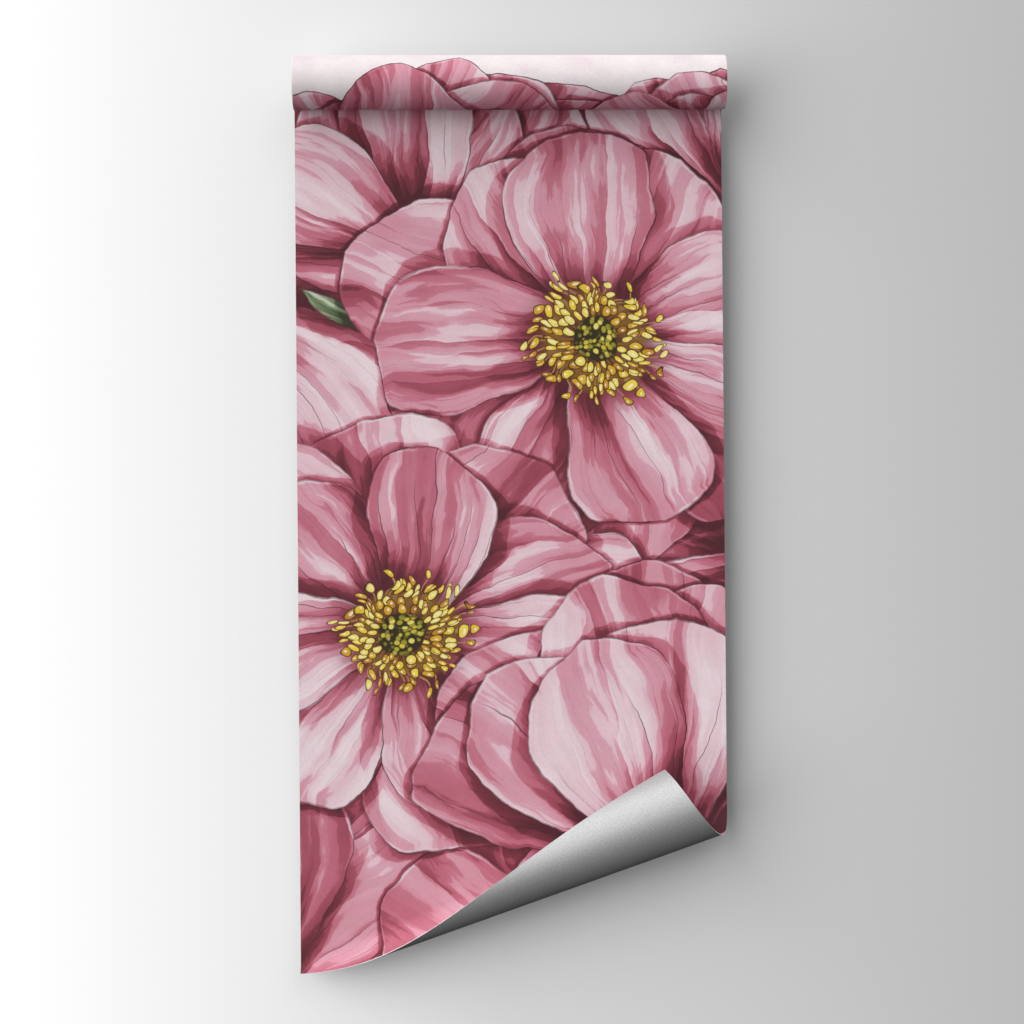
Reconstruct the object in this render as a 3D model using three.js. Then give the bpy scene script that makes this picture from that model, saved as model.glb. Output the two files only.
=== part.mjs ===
// A roll of printed wallpaper, part unrolled and hung on a wall. The paper is one
// strip: it is still wound up at the top, leaves the roll low at the back, turns
// down in a reverse bend, drops flat, and curls forward at its lower right corner.
//
// Millimetres. +X runs to the right along the roll, +Z up, and -Y towards the
// room. The back of the hanging paper lies on Y = 0, the wall's face. The origin
// is on that face, midway across the paper, 100 mm below the roll's axis.

import * as THREE from 'three';

// The paper
const PAPER_WIDTH = 530;
const PAPER_THICKNESS = 0.6;

// The roll
const ROLL_RADIUS = 33.5;
const ROLL_HOLLOW_RADIUS = 17;
const ROLL_AXIS_Z = 100;
const ROLL_TO_WALL = 0.5;
const WINDING_GAP = 0.3;
const STEPS_PER_TURN = 32;

// The reverse bend that takes the paper from the roll to the wall
const REVERSE_BEND_RADIUS = 10;
const REVERSE_BEND_STEPS = 12;
const SEAM_GAP = 0.3;

// The hanging sheet and its curled corner
const SHEET_BOTTOM_Z = -997;
const CURL_START_LEFT = 18;
const CURL_START_RIGHT = 219;
const CURL_BEND = THREE.MathUtils.degToRad(250);
const CURL_RELAXES = 0.18;
const CURL_FANS = THREE.MathUtils.degToRad(8);
const CURL_STEPS_LEFT_EDGE = 5;
const CURL_STEPS_BOTTOM_EDGE = 31;

const ROSE = 0xb07d83;
const PALE_ROSE = 0xc79aa2;

// Worked out from the sizes above
const HALF_WIDTH = PAPER_WIDTH / 2;
const HALF_THICKNESS = PAPER_THICKNESS / 2;
const WINDING_PITCH = PAPER_THICKNESS + WINDING_GAP;
const OUTER_TURN_RADIUS = ROLL_RADIUS - HALF_THICKNESS;
const ROLL_AXIS_Y = -(ROLL_RADIUS + ROLL_TO_WALL);
const BEND_AXES_APART = OUTER_TURN_RADIUS + REVERSE_BEND_RADIUS;

// How far past the roll's lowest line the paper leaves it, so that the reverse
// bend ends exactly on the plane of the hanging sheet.
const LEAVES_PAST_BOTTOM = Math.asin(
  (-ROLL_AXIS_Y - HALF_THICKNESS - REVERSE_BEND_RADIUS) / BEND_AXES_APART,
);
const REVERSE_BEND_Y = -HALF_THICKNESS - REVERSE_BEND_RADIUS;
const REVERSE_BEND_Z = ROLL_AXIS_Z - BEND_AXES_APART * Math.cos(LEAVES_PAST_BOTTOM);

const FRONT = new THREE.Vector3(0, -1, 0);
const SHEET_PLANE_Y = -HALF_THICKNESS;

function paper(name, geometry, color) {
  const mesh = new THREE.Mesh(
    geometry,
    new THREE.MeshStandardMaterial({ color, roughness: 0.75, metalness: 0 }),
  );
  mesh.name = name;
  return mesh;
}

// ---------------------------------------------------------------- wound roll

// The spiral's section seen from the left end, as one closed outline: out along
// one face of the paper and back along the other. Angles start at the wall side
// and run over the top, so the last turn passes down the roll's front.
function spiralOutline() {
  const lastAngle = 1.5 * Math.PI + LEAVES_PAST_BOTTOM;
  const turns = (OUTER_TURN_RADIUS - ROLL_HOLLOW_RADIUS - HALF_THICKNESS) / WINDING_PITCH;
  const steps = Math.round(turns * STEPS_PER_TURN);
  const face = (side) => Array.from({ length: steps + 1 }, (_, i) => {
    const turnsLeft = turns * (1 - i / steps);
    const angle = lastAngle - turnsLeft * 2 * Math.PI;
    const radius = OUTER_TURN_RADIUS - turnsLeft * WINDING_PITCH + side * HALF_THICKNESS;
    return new THREE.Vector2(radius * Math.cos(angle), radius * Math.sin(angle));
  });
  return new THREE.Shape([...face(+1), ...face(-1).reverse()]);
}

function woundRoll() {
  const strip = new THREE.ExtrudeGeometry(spiralOutline(), {
    depth: PAPER_WIDTH,
    bevelEnabled: false,
  });
  const alongX = new THREE.Matrix4().makeBasis(
    new THREE.Vector3(0, 1, 0),
    new THREE.Vector3(0, 0, 1),
    new THREE.Vector3(1, 0, 0),
  );
  strip.applyMatrix4(alongX);
  const roll = paper('wound_roll', strip, PALE_ROSE);
  roll.position.set(-HALF_WIDTH, ROLL_AXIS_Y, ROLL_AXIS_Z);
  return roll;
}

// ------------------------------------------------------------- hanging sheet
//
// The sheet is a run of stations. A station is a straight line across the paper,
// from its left end to its right end on the paper's middle surface, with the
// direction that the printed face looks there.

function reverseBendStations() {
  const start = Math.PI / 2 + LEAVES_PAST_BOTTOM - SEAM_GAP / REVERSE_BEND_RADIUS;
  return Array.from({ length: REVERSE_BEND_STEPS + 1 }, (_, i) => {
    const angle = start * (1 - i / REVERSE_BEND_STEPS);
    const inward = new THREE.Vector3(0, -Math.cos(angle), -Math.sin(angle));
    const y = REVERSE_BEND_Y + REVERSE_BEND_RADIUS * Math.cos(angle);
    const z = REVERSE_BEND_Z + REVERSE_BEND_RADIUS * Math.sin(angle);
    return {
      left: new THREE.Vector3(-HALF_WIDTH, y, z),
      right: new THREE.Vector3(HALF_WIDTH, y, z),
      front: inward,
    };
  });
}

// The curl is a flat sheet bent along straight fold lines that fan out a little.
// A fold line is named by t, from 0 where the curl starts to 1 at the corner: it
// meets the right edge ever lower, and slopes ever less.
function foldLineHeight(t) {
  return CURL_START_RIGHT * (1 - t);
}

function foldLineSlope(t) {
  const first = Math.atan((CURL_START_RIGHT - CURL_START_LEFT) / PAPER_WIDTH);
  return Math.tan(first - CURL_FANS * t);
}

// The fold line that runs through the sheet's lower left corner, by bisection.
function foldLineThroughLeftCorner() {
  let low = 0;
  let high = 1;
  for (let i = 0; i < 40; i += 1) {
    const t = (low + high) / 2;
    const heightAtLeftEdge = foldLineHeight(t) - PAPER_WIDTH * foldLineSlope(t);
    if (heightAtLeftEdge > 0) low = t;
    else high = t;
  }
  return (low + high) / 2;
}

// A fold line's two ends on the flat sheet. The left end is on the sheet's left
// edge or, past the corner, on its bottom edge.
function foldLineEnds(t) {
  const height = foldLineHeight(t);
  const slope = foldLineSlope(t);
  const reach = Math.min(PAPER_WIDTH, height / slope);
  return {
    left: new THREE.Vector3(
      HALF_WIDTH - reach,
      SHEET_PLANE_Y,
      SHEET_BOTTOM_Z + Math.max(0, height - reach * slope),
    ),
    right: new THREE.Vector3(HALF_WIDTH, SHEET_PLANE_Y, SHEET_BOTTOM_Z + height),
  };
}

// The bend that the paper has gathered by fold line t. It tightens fastest at
// the start of the curl and relaxes towards the free corner.
function bendUpTo(t) {
  return CURL_BEND * t * (1 + CURL_RELAXES * (1 - t));
}

function evenSteps(from, to, steps) {
  return Array.from({ length: steps }, (_, i) => from + ((to - from) * i) / steps);
}

function turnAbout(point, axis, angle) {
  return new THREE.Matrix4()
    .makeTranslation(point)
    .multiply(new THREE.Matrix4().makeRotationAxis(axis, angle))
    .multiply(new THREE.Matrix4().makeTranslation(point.clone().negate()));
}

// Each fold line carries everything beyond it forward, one fold after another.
function curlStations() {
  const corner = foldLineThroughLeftCorner();
  const lines = [
    ...evenSteps(0, corner, CURL_STEPS_LEFT_EDGE),
    ...evenSteps(corner, 1, CURL_STEPS_BOTTOM_EDGE),
    1,
  ];
  const carried = new THREE.Matrix4();
  return lines.slice(0, -1).map((t, i) => {
    const { left, right } = foldLineEnds(t);
    const before = i === 0 ? 0 : (lines[i - 1] + t) / 2;
    const after = (t + lines[i + 1]) / 2;
    const axis = right.clone().sub(left).normalize();
    const halfTurn = turnAbout(right, axis, (bendUpTo(before) - bendUpTo(after)) / 2);
    carried.multiply(halfTurn);
    const station = {
      left: left.applyMatrix4(carried),
      right: right.applyMatrix4(carried),
      front: FRONT.clone().transformDirection(carried),
    };
    carried.multiply(halfTurn);
    station.carried = carried.clone();
    return station;
  });
}

// One closed solid from the stations and the corner point that ends the sheet.
function sheetSolid(stations, tip, tipFront) {
  const positions = [];
  const indices = [];
  const add = (point, front, side) => {
    const p = point.clone().addScaledVector(front, side * HALF_THICKNESS);
    return positions.push(p.x, p.y, p.z) / 3 - 1;
  };
  const quad = (a, b, c, d) => indices.push(a, b, c, a, c, d);

  const rings = stations.map(({ left, right, front }) => ({
    frontLeft: add(left, front, +1),
    frontRight: add(right, front, +1),
    backLeft: add(left, front, -1),
    backRight: add(right, front, -1),
  }));
  const frontTip = add(tip, tipFront, +1);
  const backTip = add(tip, tipFront, -1);

  const top = rings[0];
  quad(top.frontLeft, top.frontRight, top.backRight, top.backLeft);
  rings.slice(1).forEach((below, i) => {
    const above = rings[i];
    quad(above.frontLeft, below.frontLeft, below.frontRight, above.frontRight);
    quad(above.backLeft, above.backRight, below.backRight, below.backLeft);
    quad(above.frontLeft, above.backLeft, below.backLeft, below.frontLeft);
    quad(above.frontRight, below.frontRight, below.backRight, above.backRight);
  });
  const last = rings[rings.length - 1];
  indices.push(last.frontLeft, frontTip, last.frontRight);
  indices.push(last.backLeft, last.backRight, backTip);
  quad(last.frontLeft, last.backLeft, backTip, frontTip);
  quad(last.frontRight, frontTip, backTip, last.backRight);

  const solid = new THREE.BufferGeometry();
  solid.setAttribute('position', new THREE.Float32BufferAttribute(positions, 3));
  solid.setIndex(indices);
  solid.computeVertexNormals();
  return solid;
}

function hangingSheet() {
  const curl = curlStations();
  const { carried } = curl[curl.length - 1];
  const tip = new THREE.Vector3(HALF_WIDTH, SHEET_PLANE_Y, SHEET_BOTTOM_Z);
  const solid = sheetSolid(
    [...reverseBendStations(), ...curl],
    tip.applyMatrix4(carried),
    FRONT.clone().transformDirection(carried),
  );
  return paper('hanging_sheet', solid, ROSE);
}

const wallpaper = new THREE.Group();
wallpaper.add(woundRoll(), hangingSheet());

export default wallpaper;
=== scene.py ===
"""A roll of floral wallpaper, part unrolled and hung up, dressed for the camera.

The paper is one strip. It is wound up at the top, leaves the roll low at the
back, turns down in a reverse bend, drops flat, and curls forward at its lower
right corner. Its face carries a painted print of large open blossoms, its back is
silver grey, and its cut edges are white.

Metres. +X runs to the right along the roll, +Z up, and -Y towards the room.
"""

from __future__ import annotations

import logging
import math
import random
from collections.abc import Sequence
from dataclasses import dataclass, field
from enum import Enum

import bpy
from mathutils import Euler, Matrix, Vector


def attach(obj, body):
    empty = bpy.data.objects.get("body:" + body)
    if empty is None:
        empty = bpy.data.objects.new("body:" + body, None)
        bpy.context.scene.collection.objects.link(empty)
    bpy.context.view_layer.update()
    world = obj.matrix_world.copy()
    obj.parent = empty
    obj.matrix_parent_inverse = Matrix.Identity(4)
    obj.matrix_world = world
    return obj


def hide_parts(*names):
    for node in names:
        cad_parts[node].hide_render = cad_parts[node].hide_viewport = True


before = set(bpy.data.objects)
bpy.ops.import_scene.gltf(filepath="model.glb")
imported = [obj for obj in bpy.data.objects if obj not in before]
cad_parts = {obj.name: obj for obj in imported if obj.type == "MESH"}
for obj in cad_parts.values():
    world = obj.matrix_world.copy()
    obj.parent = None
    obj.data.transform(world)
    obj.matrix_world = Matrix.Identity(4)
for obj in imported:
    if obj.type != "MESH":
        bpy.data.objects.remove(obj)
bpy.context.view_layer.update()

FLAT_PLACE = "flat_place"
BODY = "root"
MM = 0.001

log = logging.getLogger("wallpaper")


# --------------------------------------------------------------------- shader desk


class Wire:
    """One value, colour or vector that runs between shader nodes.

    Arithmetic on values adds Math nodes. Vectors and colours go through the
    desk's own methods.
    """

    def __init__(self, desk: Desk, socket: bpy.types.NodeSocket) -> None:
        """Start from an output socket of one of the desk's nodes."""
        self.desk = desk
        self.socket = socket

    def other(self, output: str | int) -> Wire:
        """Return another output of the same node."""
        return Wire(self.desk, self.socket.node.outputs[output])

    def __add__(self, other: Number) -> Wire:
        """Return self + other."""
        return self.desk.math("ADD", self, other)

    def __sub__(self, other: Number) -> Wire:
        """Return self - other."""
        return self.desk.math("SUBTRACT", self, other)

    def __rsub__(self, other: Number) -> Wire:
        """Return other - self."""
        return self.desk.math("SUBTRACT", other, self)

    def __mul__(self, other: Number) -> Wire:
        """Return self * other."""
        return self.desk.math("MULTIPLY", self, other)

    def __truediv__(self, other: Number) -> Wire:
        """Return self / other."""
        return self.desk.math("DIVIDE", self, other)

    def __rtruediv__(self, other: Number) -> Wire:
        """Return other / self."""
        return self.desk.math("DIVIDE", other, self)

    def __gt__(self, other: Number) -> Wire:
        """Return 1 where self is above other, else 0."""
        return self.desk.math("GREATER_THAN", self, other)

    def __lt__(self, other: Number) -> Wire:
        """Return 1 where self is below other, else 0."""
        return self.desk.math("LESS_THAN", self, other)

    def __abs__(self) -> Wire:
        """Return the size of self without its sign."""
        return self.desk.math("ABSOLUTE", self)

    def __floor__(self) -> Wire:
        """Return self rounded down."""
        return self.desk.math("FLOOR", self)

    __radd__ = __add__
    __rmul__ = __mul__

    def at_least(self, other: Number) -> Wire:
        """Return the larger of self and other."""
        return self.desk.math("MAXIMUM", self, other)

    def at_most(self, other: Number) -> Wire:
        """Return the smaller of self and other."""
        return self.desk.math("MINIMUM", self, other)

    def root(self) -> Wire:
        """Return the square root of self."""
        return self.desk.math("SQRT", self)

    def swing(self, reach: float) -> Wire:
        """Return noise about 0.5 as noise about 0, with a reach in place of 1."""
        return (self - 0.5) * reach

    def ramp(self, low: float, high: float) -> Wire:
        """Ease from 0 to 1 between two values of self.

        Args:
            low: The value where the result is 0.
            high: The value where it is 1, which may be below low.

        Returns:
            The eased value.
        """
        flip = high < low
        first, last = (high, low) if flip else (low, high)
        eased = self.desk.node(
            "ShaderNodeMapRange",
            {"interpolation_type": "SMOOTHSTEP"},
            {"Value": self, "From Min": first, "From Max": last},
        )
        return 1 - eased if flip else eased

    def blend(self, other: Number, share: Number) -> Wire:
        """Return self where share is 0 and other where it is 1."""
        return self.desk.mix("FLOAT", self, other, share)

    def colours(self, stops: Stops) -> Wire:
        """Return a colour picked by self from a ramp of stops."""
        return self.desk.node("ShaderNodeValToRGB", {"stops": stops}, {0: self})

    def dot(self, other: Wire | Triple) -> Wire:
        """Return the dot product of two vectors."""
        return self.desk.vector("DOT_PRODUCT", self, other).other("Value")

    def split(self) -> tuple[Wire, Wire, Wire]:
        """Take a vector or a colour apart.

        Returns:
            Its three values.
        """
        is_colour = self.socket.type == "RGBA"
        kind = "ShaderNodeSeparateColor" if is_colour else "ShaderNodeSeparateXYZ"
        first = self.desk.node(kind, {}, {0: self})
        return first, first.other(1), first.other(2)


Number = Wire | float
Pair = tuple[float, float]
Triple = tuple[float, float, float]
Stops = tuple[tuple[float, Triple], ...]
Piece = bpy.types.Object
Finish = bpy.types.Material


class Desk:
    """Lays out the nodes of one node tree."""

    def __init__(self, tree: bpy.types.NodeTree) -> None:
        """Start on the tree of a material, a group or a world, and empty it."""
        self.tree = tree
        self.tree.nodes.clear()

    def node(
        self,
        kind: str,
        settings: dict[str, object] | None = None,
        inputs: dict[str | int, object] | None = None,
    ) -> Wire:
        """Add a node.

        Args:
            kind: The node's type.
            settings: Its properties, set first. "stops" are a colour ramp's, as
                (place, colour) pairs, and "points" a value curve's.
            inputs: Values or wires, by the socket's name or number.

        Returns:
            The node's first output that is in use.
        """
        made = self.tree.nodes.new(kind)
        for name, value in (settings or {}).items():
            if name == "stops":
                self._set_stops(made.color_ramp, value)
            elif name == "points":
                self._set_points(made.mapping, value)
            else:
                setattr(made, name, value)
        for name, value in (inputs or {}).items():
            socket = made.inputs[name]
            if isinstance(value, Wire):
                self.tree.links.new(value.socket, socket)
            else:
                socket.default_value = value
        return Wire(self, next((s for s in made.outputs if s.enabled), None))

    @staticmethod
    def _set_stops(ramp: bpy.types.ColorRamp, stops: Stops) -> None:
        """Give a colour ramp its stops.

        Args:
            ramp: The colour ramp.
            stops: Each stop's place and colour, in order.
        """
        while len(ramp.elements) > 1:
            ramp.elements.remove(ramp.elements[-1])
        ramp.elements[0].position = stops[0][0]
        ramp.elements[0].color = (*stops[0][1], 1.0)
        for place, colour in stops[1:]:
            ramp.elements.new(place).color = (*colour, 1.0)

    @staticmethod
    def _set_points(mapping: bpy.types.CurveMapping, points: Sequence[Pair]) -> None:
        """Give a value curve its points, and let it run on beyond its ends.

        Args:
            mapping: The curve's mapping.
            points: Its points, in order.
        """
        mapping.use_clip = False
        mapping.extend = "EXTRAPOLATED"
        curve = mapping.curves[0]
        curve.points[0].location = points[0]
        curve.points[-1].location = points[-1]
        for place in points[1:-1]:
            curve.points.new(*place)
        mapping.update()

    def math(self, operation: str, *values: Number) -> Wire:
        """Add a Math node and return its result."""
        return self.node("ShaderNodeMath", {"operation": operation}, dict(enumerate(values)))

    def vector(self, operation: str, *values: Wire | Triple, **inputs: Number) -> Wire:
        """Add a Vector Math node and return its result."""
        wired = {**dict(enumerate(values)), **inputs}
        return self.node("ShaderNodeVectorMath", {"operation": operation}, wired)

    def mix(self, kind: str, first: object, second: object, share: Number) -> Wire:
        """Add a Mix node.

        Args:
            kind: FLOAT, VECTOR or RGBA.
            first: What shows where share is 0.
            second: What shows where share is 1.
            share: How much of the second shows.

        Returns:
            The mixture.
        """
        slots = {"FLOAT": (2, 3), "VECTOR": (4, 5), "RGBA": (6, 7)}[kind]
        if kind == "RGBA":
            first, second = self.opaque(first), self.opaque(second)
        settings = {"data_type": kind, "clamp_factor": False}
        return self.node("ShaderNodeMix", settings, {0: share, slots[0]: first, slots[1]: second})

    @staticmethod
    def opaque(colour: object) -> object:
        """Return a plain colour with its alpha, or a wire as it is."""
        return colour if isinstance(colour, Wire) else (*colour, 1.0)

    def join(self, x: Number, y: Number = 0.0, z: Number = 0.0) -> Wire:
        """Return a vector of three values."""
        return self.node("ShaderNodeCombineXYZ", {}, {"X": x, "Y": y, "Z": z})

    def dice(self, *cell: Number) -> tuple[Wire, Wire, Wire]:
        """Return three random values for a cell, which its numbers name."""
        thrown = self.node("ShaderNodeTexWhiteNoise", {}, {"Vector": self.join(*cell)})
        return thrown.other("Color").split()

    def surface(self, plain: dict[str, float], varied: dict[str, Wire]) -> None:
        """End a material in a Principled shader, with its plain sockets and its wired ones."""
        shader = self.node("ShaderNodeBsdfPrincipled", {}, {**plain, **varied})
        self.node("ShaderNodeOutputMaterial", {}, {"Surface": shader})


class MaterialDesk(Desk):
    """Lays out the nodes of one material."""

    def __init__(self, name: str) -> None:
        """Start a material with no nodes.

        Args:
            name: The material's name.
        """
        self.material = bpy.data.materials.new(name)
        self.material.use_nodes = True
        super().__init__(self.material.node_tree)

    def flat_place(self) -> Wire:
        """Return where a point of the paper is on the flat strip."""
        return self.node("ShaderNodeAttribute", {"attribute_name": FLAT_PLACE}).other("Vector")


class GroupDesk(Desk):
    """Lays out the nodes of a group that is used many times."""

    def __init__(self, name: str, inputs: dict[str, str]) -> None:
        """Start a group with no nodes.

        Args:
            name: The group's name.
            inputs: Its inputs' names, and whether each is a Float or a Vector.
        """
        super().__init__(bpy.data.node_groups.new(name, "ShaderNodeTree"))
        for socket, kind in inputs.items():
            self.tree.interface.new_socket(socket, in_out="INPUT", socket_type="NodeSocket" + kind)
        self._start = self.node("NodeGroupInput")

    def given(self, name: str) -> Wire:
        """Return one of the group's inputs."""
        return self._start.other(name)

    def finish(self, outputs: dict[str, Wire]) -> None:
        """Give the group its outputs.

        Args:
            outputs: Their names, and the wire that feeds each.
        """
        for name, wire in outputs.items():
            kind = "NodeSocketVector" if wire.socket.type == "VECTOR" else "NodeSocketFloat"
            self.tree.interface.new_socket(name, in_out="OUTPUT", socket_type=kind)
        self.node("NodeGroupOutput", {}, outputs)


def paint(below: Wire | Triple, colour: Wire | Triple, share: Wire) -> Wire:
    """Return the colour below with another painted over a share of it."""
    return share.desk.mix("RGBA", below, colour, share)


@dataclass(frozen=True)
class Fade:
    """An effect that sets in between two levels of what it follows.

    Attributes:
        start: The level where it starts.
        full: The level where it is full, which may be below start.
        strength: Its strength there.
    """

    start: float
    full: float
    strength: float = 1.0

    def at(self, level: Wire) -> Wire:
        """Return the effect's strength at a level."""
        eased = level.ramp(self.start, self.full)
        return eased if self.strength == 1.0 else eased * self.strength


@dataclass(frozen=True)
class Mottle:
    """Soft noise about 0.5.

    Attributes:
        scale: How many lumps there are to one unit of the place.
        detail: How many finer layers it has.
        rough: How strong the finer layers are.
    """

    scale: float
    detail: float = 2.0
    rough: float = 0.5

    def at(self, place: Wire) -> Wire:
        """Return the noise at a place."""
        inputs = {"Vector": place, "Scale": self.scale, "Detail": self.detail, "Roughness": self.rough}
        return place.desk.node("ShaderNodeTexNoise", {}, inputs)

    def three(self, place: Wire) -> tuple[Wire, Wire, Wire]:
        """Return three separate noises at a place."""
        return self.at(place).other("Color").split()


@dataclass(frozen=True)
class Relief:
    """Fine bumps in a surface.

    Attributes:
        strength: How strongly they show.
        height: How high they stand.
    """

    strength: float
    height: float

    def of(self, level: Wire) -> Wire:
        """Return the normal of a surface whose bumps follow a level."""
        inputs = {"Strength": self.strength, "Distance": self.height, "Height": level}
        return level.desk.node("ShaderNodeBump", {}, inputs)


def srgb(red: int, green: int, blue: int) -> Triple:
    """Turn a screen colour into the linear colour that shaders use.

    Args:
        red: Its red, from 0 to 255.
        green: Its green.
        blue: Its blue.

    Returns:
        The linear colour, by the screen standard's curve.
    """
    def linear(level: int) -> float:
        """Return one channel."""
        share = level / 255
        return share / 12.92 if share <= 0.04045 else ((share + 0.055) / 1.055) ** 2.4

    return linear(red), linear(green), linear(blue)


def grey(level: int) -> Triple:
    """Return a neutral screen colour as a linear one."""
    return srgb(level, level, level)


def axis_from(way: Pair, start: Pair) -> Triple:
    """Return what a spot (s, t, 1) is multiplied by for its reach along a way from a start."""
    return *way, -(way[0] * start[0] + way[1] * start[1])


# --------------------------------------------------------------------- the layout


class Kind(Enum):
    """What a painted leaf of the print is."""

    PETAL = "petal"
    LEAF = "leaf"

    def half_width_at(self, along: Wire) -> Wire:
        """Return the outline's half width at a share of the length."""
        return along.desk.node("ShaderNodeFloatCurve", {"points": OUTLINES[self]}, {"Value": along})


# Half width along the length, each as a share. The ends drop steeply, so that the
# outline closes beyond them.
OUTLINES: dict[Kind, tuple[Pair, ...]] = {
    Kind.PETAL: (
        (0.0, 0.0),
        (0.04, 0.17),
        (0.2, 0.42),
        (0.45, 0.78),
        (0.7, 1.0),
        (0.87, 0.94),
        (0.96, 0.66),
        (1.0, 0.36),
    ),
    Kind.LEAF: (
        (0.0, 0.0),
        (0.05, 0.2),
        (0.25, 0.8),
        (0.42, 1.0),
        (0.65, 0.8),
        (0.85, 0.38),
        (1.0, 0.0),
    ),
}

# Added to a leaf's tint, which tells it from a petal's, at most 1.
LEAF_MARK = 2.0


@dataclass(frozen=True)
class Petal:
    """One painted petal or leaf, where it lies on the flat paper.

    Attributes:
        base: Where it starts, across and up the paper.
        heading: The way it points, anticlockwise from the paper's right.
        length: From base to tip.
        half_width: Half its greatest width.
        sway: How far its tip swings aside, in half widths.
        crown: How far its middle runs ahead of its sides, as a share of its length.
        tint: How deep its colour is, from 0, pale, to 1.
        kind: Petal or leaf.
    """

    base: Pair
    heading: float
    length: float
    half_width: float
    sway: float
    crown: float
    tint: float
    kind: Kind = Kind.PETAL

    def axes(self) -> tuple[Triple, Triple]:
        """Work out the axes that turn a spot (s, t, 1) into a place in the petal.

        Returns:
            The axis along the petal, by its length, and the one across it, by its
            half width.
        """
        right, up = math.cos(self.heading), math.sin(self.heading)
        along = (right / self.length, up / self.length)
        across = (-up / self.half_width, right / self.half_width)
        return axis_from(along, self.base), axis_from(across, self.base)


@dataclass(frozen=True)
class Looseness:
    """How freely a blossom's petals differ. Pairs are ranges.

    Attributes:
        turn: How far a petal turns from its place, in steps of its ring.
        length: Its length, as a share of the ring's.
        tuck: How far its base runs past the blossom's middle, as a share of its length.
        narrowing: The power by which foreshortening changes its breadth.
        breadth: Its breadth, as a share of the ring's.
        sway: Its sway.
        crown: Its crown.
        tint: What is added to the ring's tint.
    """

    turn: Pair = (-0.22, 0.22)
    length: Pair = (0.88, 1.08)
    tuck: float = 0.03
    narrowing: float = 0.6
    breadth: Pair = (0.9, 1.12)
    sway: Pair = (-0.4, 0.4)
    crown: Pair = (-0.02, 0.1)
    tint: Pair = (-0.3, 0.3)


@dataclass(frozen=True)
class Ring:
    """One ring of petals in a blossom.

    Attributes:
        count: How many petals there are in it.
        reach: Their length, as a share of the blossom's.
        breadth: Their half width, as a share of their length.
        first: Heading of the first, in degrees.
        sweep: The arc that they share, in degrees.
        tint: How deep their colour is.
    """

    count: int
    reach: float
    breadth: float
    first: float = 0.0
    sweep: float = 360.0
    tint: float = 0.5


@dataclass(frozen=True)
class Blossom:
    """A painted blossom, seen a little from the side.

    Attributes:
        centre: The middle, across and up the flat paper.
        radius: Length of its longest petals.
        rings: Its petals, the hindmost ring first.
        seed: Draws its small differences.
        squash: How much it is foreshortened, from 1, seen full on.
        lean: The way it is foreshortened, in degrees.
        loose: How large its small differences are.
    """

    centre: Pair
    radius: float
    rings: tuple[Ring, ...]
    seed: int
    squash: float = 1.0
    lean: float = 0.0
    loose: Looseness = Looseness()

    def petals(self) -> list[Petal]:
        """Return its petals, in the order in which they are painted."""
        draw = random.Random(self.seed)
        return [petal for ring in self.rings for petal in self._ring(ring, draw)]

    def _ring(self, ring: Ring, draw: random.Random) -> list[Petal]:
        """Lay out one ring's petals.

        Args:
            ring: The ring.
            draw: Where its random draws come from.

        Returns:
            Its petals, every second one first, so that the rest lie over them.
        """
        step = ring.sweep / ring.count
        order = [*range(0, ring.count, 2), *range(1, ring.count, 2)]
        made = []
        for i in order:
            heading = math.radians(ring.first + step * (i + draw.uniform(*self.loose.turn)))
            length = self.radius * ring.reach * draw.uniform(*self.loose.length)
            stretch, seen = self._foreshorten(heading)
            tuck = self.loose.tuck * length
            breadth = ring.breadth * (self.squash / stretch) ** self.loose.narrowing
            made.append(
                Petal(
                    base=(
                        self.centre[0] - tuck * math.cos(seen),
                        self.centre[1] - tuck * math.sin(seen),
                    ),
                    heading=seen,
                    length=length * stretch,
                    half_width=length * breadth * draw.uniform(*self.loose.breadth),
                    sway=draw.uniform(*self.loose.sway),
                    crown=draw.uniform(*self.loose.crown),
                    tint=min(1.0, max(0.0, ring.tint + draw.uniform(*self.loose.tint))),
                )
            )
        return made

    def heart_axes(self, radius: float) -> tuple[Triple, Triple]:
        """Work out the axes that turn a spot (s, t, 1) into heart radii from the middle.

        Args:
            radius: The heart's radius, seen full on.

        Returns:
            The axis along the lean, and the one across it.
        """
        right, up = math.cos(math.radians(self.lean)), math.sin(math.radians(self.lean))
        along = (right / (radius * self.squash), up / (radius * self.squash))
        across = (-up / radius, right / radius)
        return axis_from(along, self.centre), axis_from(across, self.centre)

    def _foreshorten(self, heading: float) -> Pair:
        """Work out how a petal looks from the side.

        Args:
            heading: The way it points, seen full on.

        Returns:
            Its length as a share of the true one, and the way it seems to point.
        """
        lean = math.radians(self.lean)
        along = math.cos(heading - lean) * self.squash
        across = math.sin(heading - lean)
        return math.hypot(along, across), math.atan2(across, along) + lean


# --------------------------------------------------------------------- the paint


@dataclass(frozen=True)
class TopPetal:
    """What is known of the petal that shows at a place on the paper.

    Attributes:
        along: How far from its base, as a share of its length.
        across: How far from its mid-line, as a share of its half width.
        seed: Its own number, for random draws.
        tint: How deep its colour is, and a leaf's mark.
        half_width: Half its greatest width. It is 0 on the bare ground.
        length: Its length.
        inset: How far inside its outline, as a share of its half width.
        shade: 1 against a petal that lies over it, 0 well away from any.
    """

    along: Wire
    across: Wire
    seed: Wire
    tint: Wire
    half_width: Wire
    length: Wire
    inset: Wire
    shade: Wire

    def from_edge(self, outline: Wire, step: float, least_length: float) -> Wire:
        """Work out how far inside the outline the place is.

        Args:
            outline: The outline's half width there.
            step: The step along the petal over which the outline's slope is taken.
            least_length: Stands in for the length where there is no petal.

        Returns:
            The distance, in millimetres.
        """
        slope = (Kind.PETAL.half_width_at(self.along + step) - outline) / step
        steep = slope * self.half_width / self.length.at_least(least_length)
        return self.inset * self.half_width / (steep * steep + 1.0).root() / MM


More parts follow.
